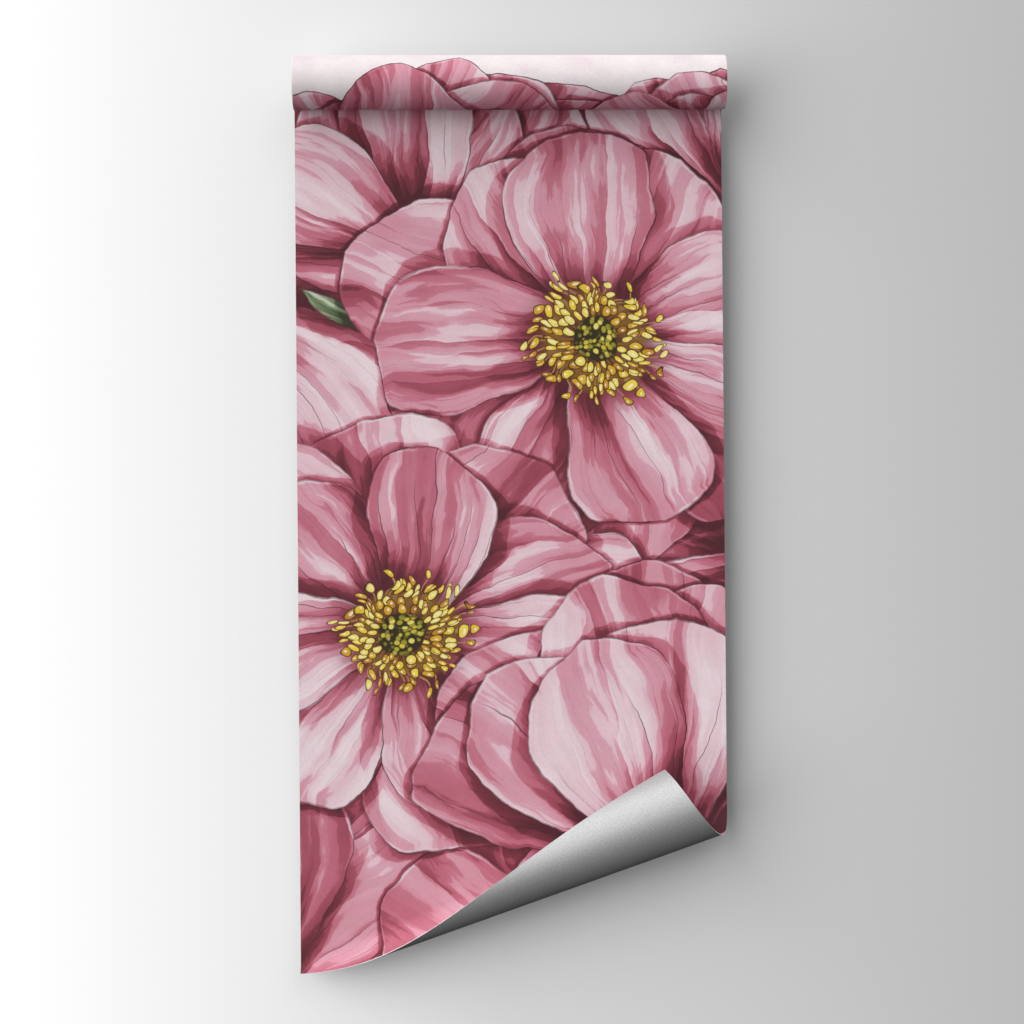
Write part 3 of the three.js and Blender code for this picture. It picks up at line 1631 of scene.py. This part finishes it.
@dataclass
class Ribbon:
    """A closed solid of paper through a run of stations.

    Attributes:
        paper: The paper that it is made of.
        columns: How many steps a station is cut into.
        vertices: The corner points so far.
        places: Where each corner point is on the flat paper.
        faces: The faces so far.
        sides: Which side of the paper each face is on.
    """

    paper: Paper
    columns: int
    vertices: list[Vector] = field(default_factory=list)
    places: list[Vector] = field(default_factory=list)
    faces: list[tuple[int, ...]] = field(default_factory=list)
    sides: list[Side] = field(default_factory=list)

    def add_point(self, point: Vector, face: Vector, place: Vector) -> tuple[int, int]:
        """Add a point of the middle surface.

        Args:
            point: Where it is.
            face: The way the printed side looks there.
            place: Where it is on the flat paper.

        Returns:
            Its corner points on the printed side and on the back.
        """
        for side in (0.5, -0.5):
            self.vertices.append(point + face * (side * self.paper.thickness))
            self.places.append(place)
        return len(self.vertices) - 2, len(self.vertices) - 1

    def add_row(self, station: Station) -> list[tuple[int, int]]:
        """Add one station's points.

        Args:
            station: The station.

        Returns:
            The points' corner points, from left to right.
        """
        return [
            self.add_point(
                station.left.lerp(station.right, k / self.columns),
                station.face,
                station.left_place.lerp(station.right_place, k / self.columns),
            )
            for k in range(self.columns + 1)
        ]

    def add_face(self, side: Side, *corners: int) -> None:
        """Add one face."""
        self.faces.append(corners)
        self.sides.append(side)

    def join(self, rows: Sequence[list[tuple[int, int]]]) -> None:
        """Join rows by both sides of the paper and its two edges, and close the first end.

        Args:
            rows: The rows' corner points, from the top down.
        """
        for above, below in zip(rows, rows[1:]):
            for k in range(self.columns):
                (a, a_back), (b, b_back) = above[k], above[k + 1]
                (c, c_back), (d, d_back) = below[k], below[k + 1]
                self.add_face(Side.FACE, a, c, d, b)
                self.add_face(Side.BACK, a_back, b_back, d_back, c_back)
            self.add_face(Side.EDGE, above[0][0], above[0][1], below[0][1], below[0][0])
            self.add_face(Side.EDGE, above[-1][0], below[-1][0], below[-1][1], above[-1][1])
        for (a, a_back), (b, b_back) in zip(rows[0], rows[0][1:]):
            self.add_face(Side.EDGE, a, b, b_back, a_back)

    def close_straight(self, row: list[tuple[int, int]]) -> None:
        """Close the end after the last row."""
        for (a, a_back), (b, b_back) in zip(row, row[1:]):
            self.add_face(Side.EDGE, a, a_back, b_back, b)

    def close_in_corner(self, row: list[tuple[int, int]], corner: tuple[int, int]) -> None:
        """Close the end after the last row in one pointed corner.

        Args:
            row: The last row's corner points.
            corner: The corner's.
        """
        tip, tip_back = corner
        for (a, a_back), (b, b_back) in zip(row, row[1:]):
            self.add_face(Side.FACE, a, tip, b)
            self.add_face(Side.BACK, a_back, b_back, tip_back)
        self.add_face(Side.EDGE, row[0][0], row[0][1], tip_back, tip)
        self.add_face(Side.EDGE, row[-1][0], tip, tip_back, row[-1][1])

    def mesh(self, name: str, finishes: Sequence[Finish]) -> Piece:
        """Make the solid.

        Args:
            name: The new piece's name.
            finishes: The materials of the face, the back and the edge.

        Returns:
            The piece, linked into the scene.
        """
        data = bpy.data.meshes.new(name)
        data.from_pydata(self.vertices, [], self.faces)
        place = data.attributes.new(FLAT_PLACE, "FLOAT_VECTOR", "POINT")
        place.data.foreach_set("vector", [c for point in self.places for c in point])
        for finish in finishes:
            data.materials.append(finish)
        data.polygons.foreach_set("material_index", [side.value for side in self.sides])
        data.polygons.foreach_set("use_smooth", [True] * len(self.faces))
        data.set_sharp_from_angle(angle=SHARP_TURN)
        data.validate()
        piece = bpy.data.objects.new(name, data)
        bpy.context.scene.collection.objects.link(piece)
        return piece


@dataclass(frozen=True)
class Slip:
    """How the windings have slipped sideways, as a sum of slow waves.

    Attributes:
        reach: About how far a winding's edge may lie off the outer turn's.
        waves: How many waves there are.
        rates: The range of their rates, as angles a turn.
        damping: What their sum is divided by.
        settles: Over how many turns the slip grows to its full reach.
        seed: Draws the waves.
    """

    reach: float = 1.1 * MM
    waves: int = 6
    rates: Pair = (0.1, 1.3)
    damping: float = 3.0
    settles: float = 2.0
    seed: int = 7

    def draw_waves(self) -> list[Pair]:
        """Draw each wave's rate and start."""
        draw = random.Random(self.seed)
        return [(draw.uniform(*self.rates), draw.uniform(0, math.tau)) for _ in range(self.waves)]

    def at(self, turns_left: float, waves: Sequence[Pair]) -> float:
        """Return how far to the right a winding so many turns inside the outer one has slipped."""
        sway = sum(math.sin(rate * turns_left + start) for rate, start in waves) / self.damping
        return self.reach * sway * min(1.0, turns_left / self.settles)


@dataclass(frozen=True)
class WoundRoll:
    """The paper that is still wound up.

    Attributes:
        paper: The paper.
        radius: Outer radius of the roll.
        hollow_radius: Radius of its open middle.
        axis_z: Height of its axis.
        to_wall: Room between the roll and the hanging sheet's back.
        winding_gap: Room between one winding and the next.
        bend_radius: Radius of the reverse bend in which the paper leaves the roll.
        slip: How the windings have slipped.
        steps_per_turn: How finely a turn is cut.
        columns: How many steps the width is cut into.
    """

    paper: Paper
    radius: float = 33.5 * MM
    hollow_radius: float = 17 * MM
    axis_z: float = 100 * MM
    to_wall: float = 0.5 * MM
    winding_gap: float = 0.1 * MM
    bend_radius: float = 10 * MM
    slip: Slip = Slip()
    steps_per_turn: int = 64
    columns: int = 6

    @property
    def axis_y(self) -> float:
        """How far the axis stands in front of the wall, as a Y."""
        return -(self.radius + self.to_wall)

    @property
    def outer_turn(self) -> float:
        """Radius of the outer turn, to the paper's middle surface."""
        return self.radius - self.paper.thickness / 2

    @property
    def pitch(self) -> float:
        """How far each turn lies inside the one before."""
        return self.paper.thickness + self.winding_gap

    @property
    def turns(self) -> float:
        """How many turns of paper there are."""
        return (self.outer_turn - self.hollow_radius - self.paper.thickness / 2) / self.pitch

    @property
    def flat_size(self) -> Pair:
        """The width and length of the wound paper, laid flat."""
        middle_turn = self.outer_turn - self.turns * self.pitch / 2
        return self.paper.width, self.turns * math.tau * middle_turn

    @property
    def leaves_past_bottom(self) -> float:
        """How far past the roll's lowest line the paper leaves it, as an angle."""
        room = -self.axis_y - self.paper.thickness / 2 - self.bend_radius
        return math.asin(room / (self.outer_turn + self.bend_radius))

    def build(self, leaves_at: float, finishes: Sequence[Finish]) -> Piece:
        """Make the roll as one spiral of paper, from the outer turn inwards.

        Args:
            leaves_at: How far up the flat paper it leaves the roll.
            finishes: The materials of the face, the back and the edge.

        Returns:
            The piece.
        """
        axis = Vector((0, self.axis_y, self.axis_z))
        last_angle = DOWN + self.leaves_past_bottom
        steps = round(self.turns * self.steps_per_turn)
        step_angle = self.turns * math.tau / steps
        waves = self.slip.draw_waves()
        ribbon = Ribbon(self.paper, self.columns)
        up = leaves_at
        rows = []
        for i in range(steps + 1):
            turns_left = self.turns * i / steps
            angle = last_angle - turns_left * math.tau
            radius = self.outer_turn - turns_left * self.pitch
            outward = Vector((0, math.cos(angle), math.sin(angle)))
            slip = self.slip.at(turns_left, waves)
            station = level_station(self.paper, axis + outward * radius, outward, up, slip)
            rows.append(ribbon.add_row(station))
            up += radius * step_angle
        rows.reverse()
        ribbon.join(rows)
        ribbon.close_straight(rows[-1])
        return ribbon.mesh("wound_paper", finishes)


@dataclass(frozen=True)
class HangingSheet:
    """The paper that has come off the roll, with its curled corner.

    The curl is the flat sheet bent along straight fold lines that fan out a
    little. A fold line is named by t, from 0 where the curl starts to 1 at the
    corner: it meets the right edge ever lower, and slopes ever less.

    Attributes:
        roll: The roll that it hangs from.
        bottom_z: Height of its lower edge, before it curls.
        curl_start_left: How far up the left edge the curl starts.
        curl_start_right: How far up the right edge the curl starts.
        curl_bend: The angle that the curl turns through.
        curl_relaxes: How much of the bend comes early.
        curl_fans: How far the fold lines fan out.
        bend_steps: How finely the reverse bend is cut.
        drop_steps: How finely the flat drop is cut.
        curl_steps: How finely the curl is cut.
        columns: How many steps the width is cut into.
        halvings: How closely the fold line through the left corner is found.
    """

    roll: WoundRoll
    bottom_z: float = -997 * MM
    curl_start_left: float = 18 * MM
    curl_start_right: float = 219 * MM
    curl_bend: float = math.radians(250)
    curl_relaxes: float = 0.18
    curl_fans: float = math.radians(8)
    bend_steps: int = 24
    drop_steps: int = 12
    curl_steps: int = 120
    columns: int = 32
    halvings: int = 40

    @property
    def paper(self) -> Paper:
        """The paper that it is made of."""
        return self.roll.paper

    @property
    def plane_y(self) -> float:
        """The Y of the flat part's middle surface."""
        return -self.paper.thickness / 2

    @property
    def bend_centre(self) -> Vector:
        """The middle of the reverse bend."""
        apart = self.roll.outer_turn + self.roll.bend_radius
        drop = apart * math.cos(self.roll.leaves_past_bottom)
        return Vector((0, self.plane_y - self.roll.bend_radius, self.roll.axis_z - drop))

    @property
    def bend_angle(self) -> float:
        """The angle that the reverse bend turns through."""
        return math.pi / 2 + self.roll.leaves_past_bottom

    @property
    def leaves_at(self) -> float:
        """How far up the flat paper it leaves the roll."""
        return self.bend_centre.z + self.roll.bend_radius * self.bend_angle

    @property
    def flat_size(self) -> Pair:
        """The width and length of the hanging paper, laid flat."""
        return self.paper.width, self.leaves_at - self.bottom_z

    def build(self, finishes: Sequence[Finish]) -> Piece:
        """Make the sheet.

        Args:
            finishes: The materials of the face, the back and the edge.

        Returns:
            The piece.
        """
        curl, carried = self._curl_stations()
        ribbon = Ribbon(self.paper, self.columns)
        stations = [*self._bend_stations(), *self._drop_stations(), *curl]
        rows = [ribbon.add_row(station) for station in stations]
        ribbon.join(rows)
        corner = self._on_plane(self.paper.half, self.bottom_z)
        face = carried.to_3x3() @ INTO_THE_ROOM
        tip = ribbon.add_point(carried @ corner, face, self._flat(corner))
        ribbon.close_in_corner(rows[-1], tip)
        return ribbon.mesh("hanging_paper", finishes)

    def _on_plane(self, x: float, z: float) -> Vector:
        """Return a point of the sheet before it curls."""
        return Vector((x, self.plane_y, z))

    @staticmethod
    def _flat(point: Vector) -> Vector:
        """Return where such a point is on the flat paper."""
        return Vector((point.x, point.z, 0))

    def _bend_stations(self) -> list[Station]:
        """Cut the reverse bend.

        Returns:
            Its stations, from the roll down.
        """
        made = []
        for i in range(self.bend_steps):
            angle = self.bend_angle * (1 - i / self.bend_steps)
            outward = Vector((0, math.cos(angle), math.sin(angle)))
            middle = self.bend_centre + outward * self.roll.bend_radius
            up = self.bend_centre.z + self.roll.bend_radius * angle
            made.append(level_station(self.paper, middle, -outward, up))
        return made

    def _drop_stations(self) -> list[Station]:
        """Cut the flat drop.

        Returns:
            Its stations, each sloped a little more than the one above.
        """
        top = self.bend_centre.z
        made = []
        for i in range(self.drop_steps):
            share = i / self.drop_steps
            left, right = (
                self._on_plane(end.x, top + (end.z - top) * share) for end in self._fold_line_ends(0.0)
            )
            made.append(Station(left, right, INTO_THE_ROOM, self._flat(left), self._flat(right)))
        return made

    def _fold_line_height(self, t: float) -> float:
        """Return how far above the sheet's bottom a fold line meets the right edge."""
        return self.curl_start_right * (1 - t)

    def _fold_line_slope(self, t: float) -> float:
        """Return how steeply a fold line climbs to the right."""
        first = math.atan((self.curl_start_right - self.curl_start_left) / self.paper.width)
        return math.tan(first - self.curl_fans * t)

    def _fold_line_ends(self, t: float) -> tuple[Vector, Vector]:
        """Work out where a fold line ends on the flat sheet.

        Args:
            t: The fold line's name.

        Returns:
            Its left end, on the left edge or past the corner on the bottom edge,
            and its right end.
        """
        height = self._fold_line_height(t)
        slope = self._fold_line_slope(t)
        reach = min(self.paper.width, height / slope)
        left_height = max(0.0, height - reach * slope)
        left = self._on_plane(self.paper.half - reach, self.bottom_z + left_height)
        return left, self._on_plane(self.paper.half, self.bottom_z + height)

    def _through_left_corner(self) -> float:
        """Find the fold line through the sheet's lower left corner, by halving.

        Returns:
            The fold line's name.
        """
        low, high = 0.0, 1.0
        for _ in range(self.halvings):
            t = (low + high) / 2
            left_height = self._fold_line_height(t) - self.paper.width * self._fold_line_slope(t)
            low, high = (t, high) if left_height > 0 else (low, t)
        return (low + high) / 2

    def _bend_up_to(self, t: float) -> float:
        """Return the bend that the paper has gathered by fold line t."""
        return self.curl_bend * t * (1 + self.curl_relaxes * (1 - t))

    def _curl_stations(self) -> tuple[list[Station], Matrix]:
        """Bend the sheet along its fold lines, each of which carries the rest forward.

        Returns:
            The stations, and where the last fold line carries what lies beyond it.
        """
        corner = self._through_left_corner()
        to_corner = round(self.curl_steps * corner)
        beyond = self.curl_steps - to_corner
        lines = [corner * i / to_corner for i in range(to_corner)]
        lines += [corner + (1 - corner) * i / beyond for i in range(beyond + 1)]
        carried = Matrix.Identity(4)
        made = []
        for i, t in enumerate(lines[:-1]):
            left, right = self._fold_line_ends(t)
            before = (lines[i - 1] + t) / 2 if i else 0.0
            after = (t + lines[i + 1]) / 2
            fold = self._bend_up_to(after) - self._bend_up_to(before)
            half_turn = self._turn_about(right, right - left, -fold / 2)
            carried = carried @ half_turn
            face = carried.to_3x3() @ INTO_THE_ROOM
            places = self._flat(left), self._flat(right)
            made.append(Station(carried @ left, carried @ right, face, *places))
            carried = carried @ half_turn
        return made, carried

    @staticmethod
    def _turn_about(point: Vector, axis: Vector, angle: float) -> Matrix:
        """Return a turn about a line through a point."""
        turn = Matrix.Rotation(angle, 4, axis.normalized())
        return Matrix.Translation(point) @ turn @ Matrix.Translation(-point)


# --------------------------------------------------------------------- the studio


@dataclass(frozen=True)
class Camera:
    """The camera, at the photograph's viewing angle.

    Attributes:
        place: Where it stands.
        lens: Its focal length, in millimetres.
        sensor: The width of its sensor, in millimetres.
        right: How far it looks to the right, as an angle.
        up: How far it looks up.
        tips: How far it leans to its left.
    """

    place: Triple = (-0.1373, -3.4165, -0.4469)
    lens: float = 96.88
    sensor: float = 36.0
    right: float = 0.0403
    up: float = 0.0055
    tips: float = 0.0080

    def set_up(self) -> None:
        """Add the camera, and make it the scene's own."""
        data = bpy.data.cameras.new("camera")
        data.lens = self.lens
        data.sensor_width = self.sensor
        camera = bpy.data.objects.new("camera", data)
        bpy.context.scene.collection.objects.link(camera)
        level = Euler((math.pi / 2 + self.up, 0.0, -self.right)).to_matrix()
        tipped = level @ Matrix.Rotation(-self.tips, 3, "Z")
        camera.matrix_world = Matrix.Translation(self.place) @ tipped.to_4x4()
        bpy.context.scene.camera = camera


@dataclass(frozen=True)
class Room:
    """The plain pale room, whose boards shade and tint nothing else.

    Attributes:
        wall_y: Where the wall behind the paper stands.
        wall_painted_falloff: Its colours, from white at the left to grey at the right, a painted
            falloff of the light that comes from the left.
        wall_left: Where its leftmost colour starts, as an X.
        wall_right: Where its rightmost colour starts.
        reach: How far off the room's other walls stand, and how high they are.
        walls: Their colour.
        floor_z: Height of the floor.
        floor: Its colour.
    """

    wall_y: float = 36 * MM
    # painted light: the wall's colour runs from white at the left to grey at the right, in place of
    # the light's falloff
    wall_painted_falloff: Stops = ((0.0, grey(241)), (0.5, grey(200)), (1.0, grey(175)))
    wall_left: float = -0.66
    wall_right: float = 0.64
    reach: float = 4.5
    walls: Triple = grey(236)
    floor_z: float = -2.0
    floor: Triple = grey(222)

    def build(self) -> list[Piece]:
        """Make the walls and the floor.

        Returns:
            The boards.
        """
        reach = self.reach
        corners = [(-reach, reach), (reach, reach), (reach, -reach), (-reach, -reach)]
        room_paint = self._one_sided(MaterialDesk("room_paint"), self.walls)
        floor_paint = self._one_sided(MaterialDesk("pale_floor"), self.floor)
        boards = [
            self._upright("wall", (-reach, self.wall_y), (reach, self.wall_y), self._wall_paint()),
            self._board("floor", [(x, y, self.floor_z) for x, y in reversed(corners)], floor_paint),
        ]
        for number, (start, end) in enumerate(zip(corners, corners[1:] + corners[:1])):
            boards.append(self._upright(f"room_wall_{number}", start, end, room_paint))
        return boards

    def _upright(self, name: str, start: Pair, end: Pair, finish: Finish) -> Piece:
        """Make one wall.

        Args:
            name: Its name.
            start: Where it starts, seen from above.
            end: Where it ends. Its front is on the right of the way there.
            finish: Its material.

        Returns:
            The wall.
        """
        bottom = [(*start, self.floor_z), (*end, self.floor_z)]
        top = [(*end, self.reach), (*start, self.reach)]
        return self._board(name, bottom + top, finish)

    @staticmethod
    def _board(name: str, corners: Sequence[Triple], finish: Finish) -> Piece:
        """Make one flat board.

        Args:
            name: Its name.
            corners: Its four corners, anticlockwise as seen from its front.
            finish: Its material.

        Returns:
            The board, linked into the scene.
        """
        data = bpy.data.meshes.new(name)
        data.from_pydata(corners, [], [range(len(corners))])
        data.materials.append(finish)
        board = bpy.data.objects.new(name, data)
        board.visible_shadow = False
        board.visible_diffuse = False
        board.visible_glossy = False
        bpy.context.scene.collection.objects.link(board)
        return board

    def _wall_paint(self) -> Finish:
        """Make the paint of the wall behind the paper, with the light's falloff from left to right
        painted into it as a ramp from white to grey.

        Returns:
            The paint.
        """
        desk = MaterialDesk("wall_paint")
        x, _, _ = desk.node("ShaderNodeTexCoord").other("Object").split()
        # painted light: the colour darkens from left to right, standing in for the falloff of the
        # light that comes from the left
        share = (x - self.wall_left) / (self.wall_right - self.wall_left)
        return self._one_sided(desk, share.colours(self.wall_painted_falloff))

    @staticmethod
    def _one_sided(desk: MaterialDesk, colour: Wire | Triple) -> Finish:
        """End a matt paint that shows from its front only, so that it hides nothing from behind.

        Args:
            desk: The paint's desk.
            colour: Its colour.

        Returns:
            The paint.
        """
        matt = desk.node("ShaderNodeBsdfDiffuse", {}, {"Color": desk.opaque(colour)})
        clear = desk.node("ShaderNodeBsdfTransparent")
        behind = desk.node("ShaderNodeNewGeometry").other("Backfacing")
        both = desk.node("ShaderNodeMixShader", {}, {0: behind, 1: matt, 2: clear})
        desk.node("ShaderNodeOutputMaterial", {}, {"Surface": both})
        return desk.material


class FallsOn(Enum):
    """What a lamp lights."""

    EVERYTHING = "everything"
    PAPER = "paper"
    ROOM = "room"


@dataclass(frozen=True)
class Lamp:
    """A broad, far-off light.

    Attributes:
        name: Its name.
        comes_from: The way to its middle.
        strength: Its strength.
        width: How broad it looks, in degrees.
        falls_on: What it lights.
    """

    name: str
    comes_from: Triple
    strength: float
    width: float
    falls_on: FallsOn = FallsOn.EVERYTHING

    def hang(self, lit: bpy.types.Collection | None) -> None:
        """Add the light to the scene.

        Args:
            lit: What it lights, or nothing where it lights everything.
        """
        data = bpy.data.lights.new(self.name, "SUN")
        data.energy = self.strength
        data.angle = math.radians(self.width)
        lamp = bpy.data.objects.new(self.name, data)
        lamp.rotation_mode = "QUATERNION"
        lamp.rotation_quaternion = Vector(self.comes_from).to_track_quat("Z", "Y")
        lamp.light_linking.receiver_collection = lit
        bpy.context.scene.collection.objects.link(lamp)


@dataclass(frozen=True)
class Lighting:
    """The studio's soft light.

    Attributes:
        lamps: The lamps.
        overhead: How bright the even glow is above.
        underfoot: How bright it is below.
        glow_rises: Between which heights of view the one turns to the other.
        view_transform: How light is turned into screen colours.
    """

    lamps: tuple[Lamp, ...] = (
        Lamp("left_light", (-0.76, -0.66, 0.17), 3.75, 70),
        Lamp("top_light", (-0.15, -0.32, 0.93), 1.75, 50, FallsOn.PAPER),
        Lamp("rear_light", (0.5, 0.8, 0.5), 1.6, 80),
        Lamp("wall_light_left", (-0.17, -0.97, 0.17), 0.33, 30, FallsOn.ROOM),
        Lamp("wall_light_high", (0.21, -0.79, 0.57), 0.32, 30, FallsOn.ROOM),
    )
    overhead: float = 0.44
    underfoot: float = 0.04
    glow_rises: Pair = (-0.35, 0.5)
    view_transform: str = "Standard"

    def set_up(self, paper: Sequence[Piece], room: Sequence[Piece]) -> None:
        """Hang the lamps, and fill the room with an even glow.

        Args:
            paper: The paper's pieces.
            room: The room's boards.
        """
        bpy.context.scene.view_settings.view_transform = self.view_transform
        lit = {
            FallsOn.PAPER: self._group("lit_paper", paper),
            FallsOn.ROOM: self._group("lit_room", room),
        }
        for lamp in self.lamps:
            lamp.hang(lit.get(lamp.falls_on))
        bpy.context.scene.world = self._glow()

    @staticmethod
    def _group(name: str, pieces: Sequence[Piece]) -> bpy.types.Collection:
        """Gather what a lamp falls on.

        Args:
            name: The group's name.
            pieces: The pieces.

        Returns:
            Their collection.
        """
        group = bpy.data.collections.new(name)
        for piece in pieces:
            group.objects.link(piece)
        return group

    def _glow(self) -> bpy.types.World:
        """Make the even glow, brighter above than below.

        Returns:
            The world that glows.
        """
        world = bpy.data.worlds.new("room")
        world.use_nodes = True
        desk = Desk(world.node_tree)
        _, _, up = desk.node("ShaderNodeTexCoord").split()
        level = up.ramp(*self.glow_rises) * (self.overhead - self.underfoot) + self.underfoot
        glow = desk.node("ShaderNodeBackground", {}, {"Color": (1, 1, 1, 1), "Strength": level})
        desk.node("ShaderNodeOutputWorld", {}, {"Surface": glow})
        return world


# --------------------------------------------------------------------- making it


def floral_print() -> FloralPrint:
    """Lay the print out on the flat paper.

    Returns:
        The print.
    """
    behind = (
        ((-0.36, -0.16), 0.34, Ring(13, 1.0, 0.36, tint=0.4), 41),
        ((0.36, -0.48), 0.34, Ring(12, 1.0, 0.38, first=8, tint=0.65), 42),
        ((-0.36, -1.08), 0.42, Ring(13, 1.0, 0.34, tint=0.4), 43),
        ((0.12, -1.06), 0.32, Ring(9, 1.0, 0.34, first=-10, sweep=200, tint=0.6), 11),
        ((0.01, -0.10), 0.30, Ring(9, 1.0, 0.36, first=-10, sweep=200, tint=0.15), 44),
    )
    opened = (
        Ring(8, 1.0, 0.36, first=10, tint=0.6),
        Ring(7, 0.88, 0.34, first=32, tint=0.32),
    )
    rising = (
        Ring(6, 1.0, 0.27, first=48, sweep=116, tint=0.2),
        Ring(4, 0.92, 0.27, first=62, sweep=96, tint=0.05),
    )
    cupped = (
        Ring(6, 0.95, 0.30, first=60, sweep=100, tint=0.65),
        Ring(4, 0.90, 0.30, first=72, sweep=84, tint=0.3),
        Ring(2, 0.74, 0.32, first=88, sweep=50, tint=0.15),
    )
    leaf = Petal(
        base=(-0.175, -0.215),
        heading=math.radians(138),
        length=110 * MM,
        half_width=14 * MM,
        sway=0.9,
        crown=0.0,
        tint=0.4,
        kind=Kind.LEAF,
    )
    return FloralPrint(
        backdrop=tuple(
            Blossom(centre, radius, (ring,), seed, squash=0.9, lean=90)
            for centre, radius, ring, seed in behind
        ),
        leaves=(leaf,),
        blossoms=(
            Blossom((0.27, -0.05), 0.24, rising, 9),
            Blossom((-0.125, -0.12), 0.30, rising, 3),
            Blossom((0.105, -0.215), 0.31, opened, 5, squash=0.88, lean=60),
            Blossom((-0.135, -0.58), 0.32, opened, 21, squash=0.86, lean=110),
            Blossom((0.19, -0.86), 0.38, cupped, 31),
        ),
        hearts=(2, 3),
    )


def hand_over(piece: Piece, node: str) -> None:
    """Let a piece stand for its CAD node.

    Args:
        piece: The piece.
        node: The CAD node that it replaces.
    """
    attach(piece, BODY)
    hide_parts(node)
    log.info("%s: %d faces, stands for %s", piece.name, len(piece.data.polygons), node)


def main() -> None:
    """Build the paper and the studio."""
    logging.basicConfig(level=logging.INFO, format="%(name)s: %(message)s")
    Camera().set_up()

    finishes = [floral_print().material(), SilverBacking().material(), CutEdge().material()]
    roll = WoundRoll(Paper())
    sheet = HangingSheet(roll)

    hanging = sheet.build(finishes)
    hand_over(hanging, "hanging_sheet")
    sheet.flat_size

    wound = roll.build(sheet.leaves_at, finishes)
    hand_over(wound, "wound_roll")
    roll.flat_size

    boards = Room().build()
    for board in boards:
        log.info("%s: staged", board.name)
    Lighting().set_up([hanging, wound], boards)


if __name__ == "__main__":
    main()
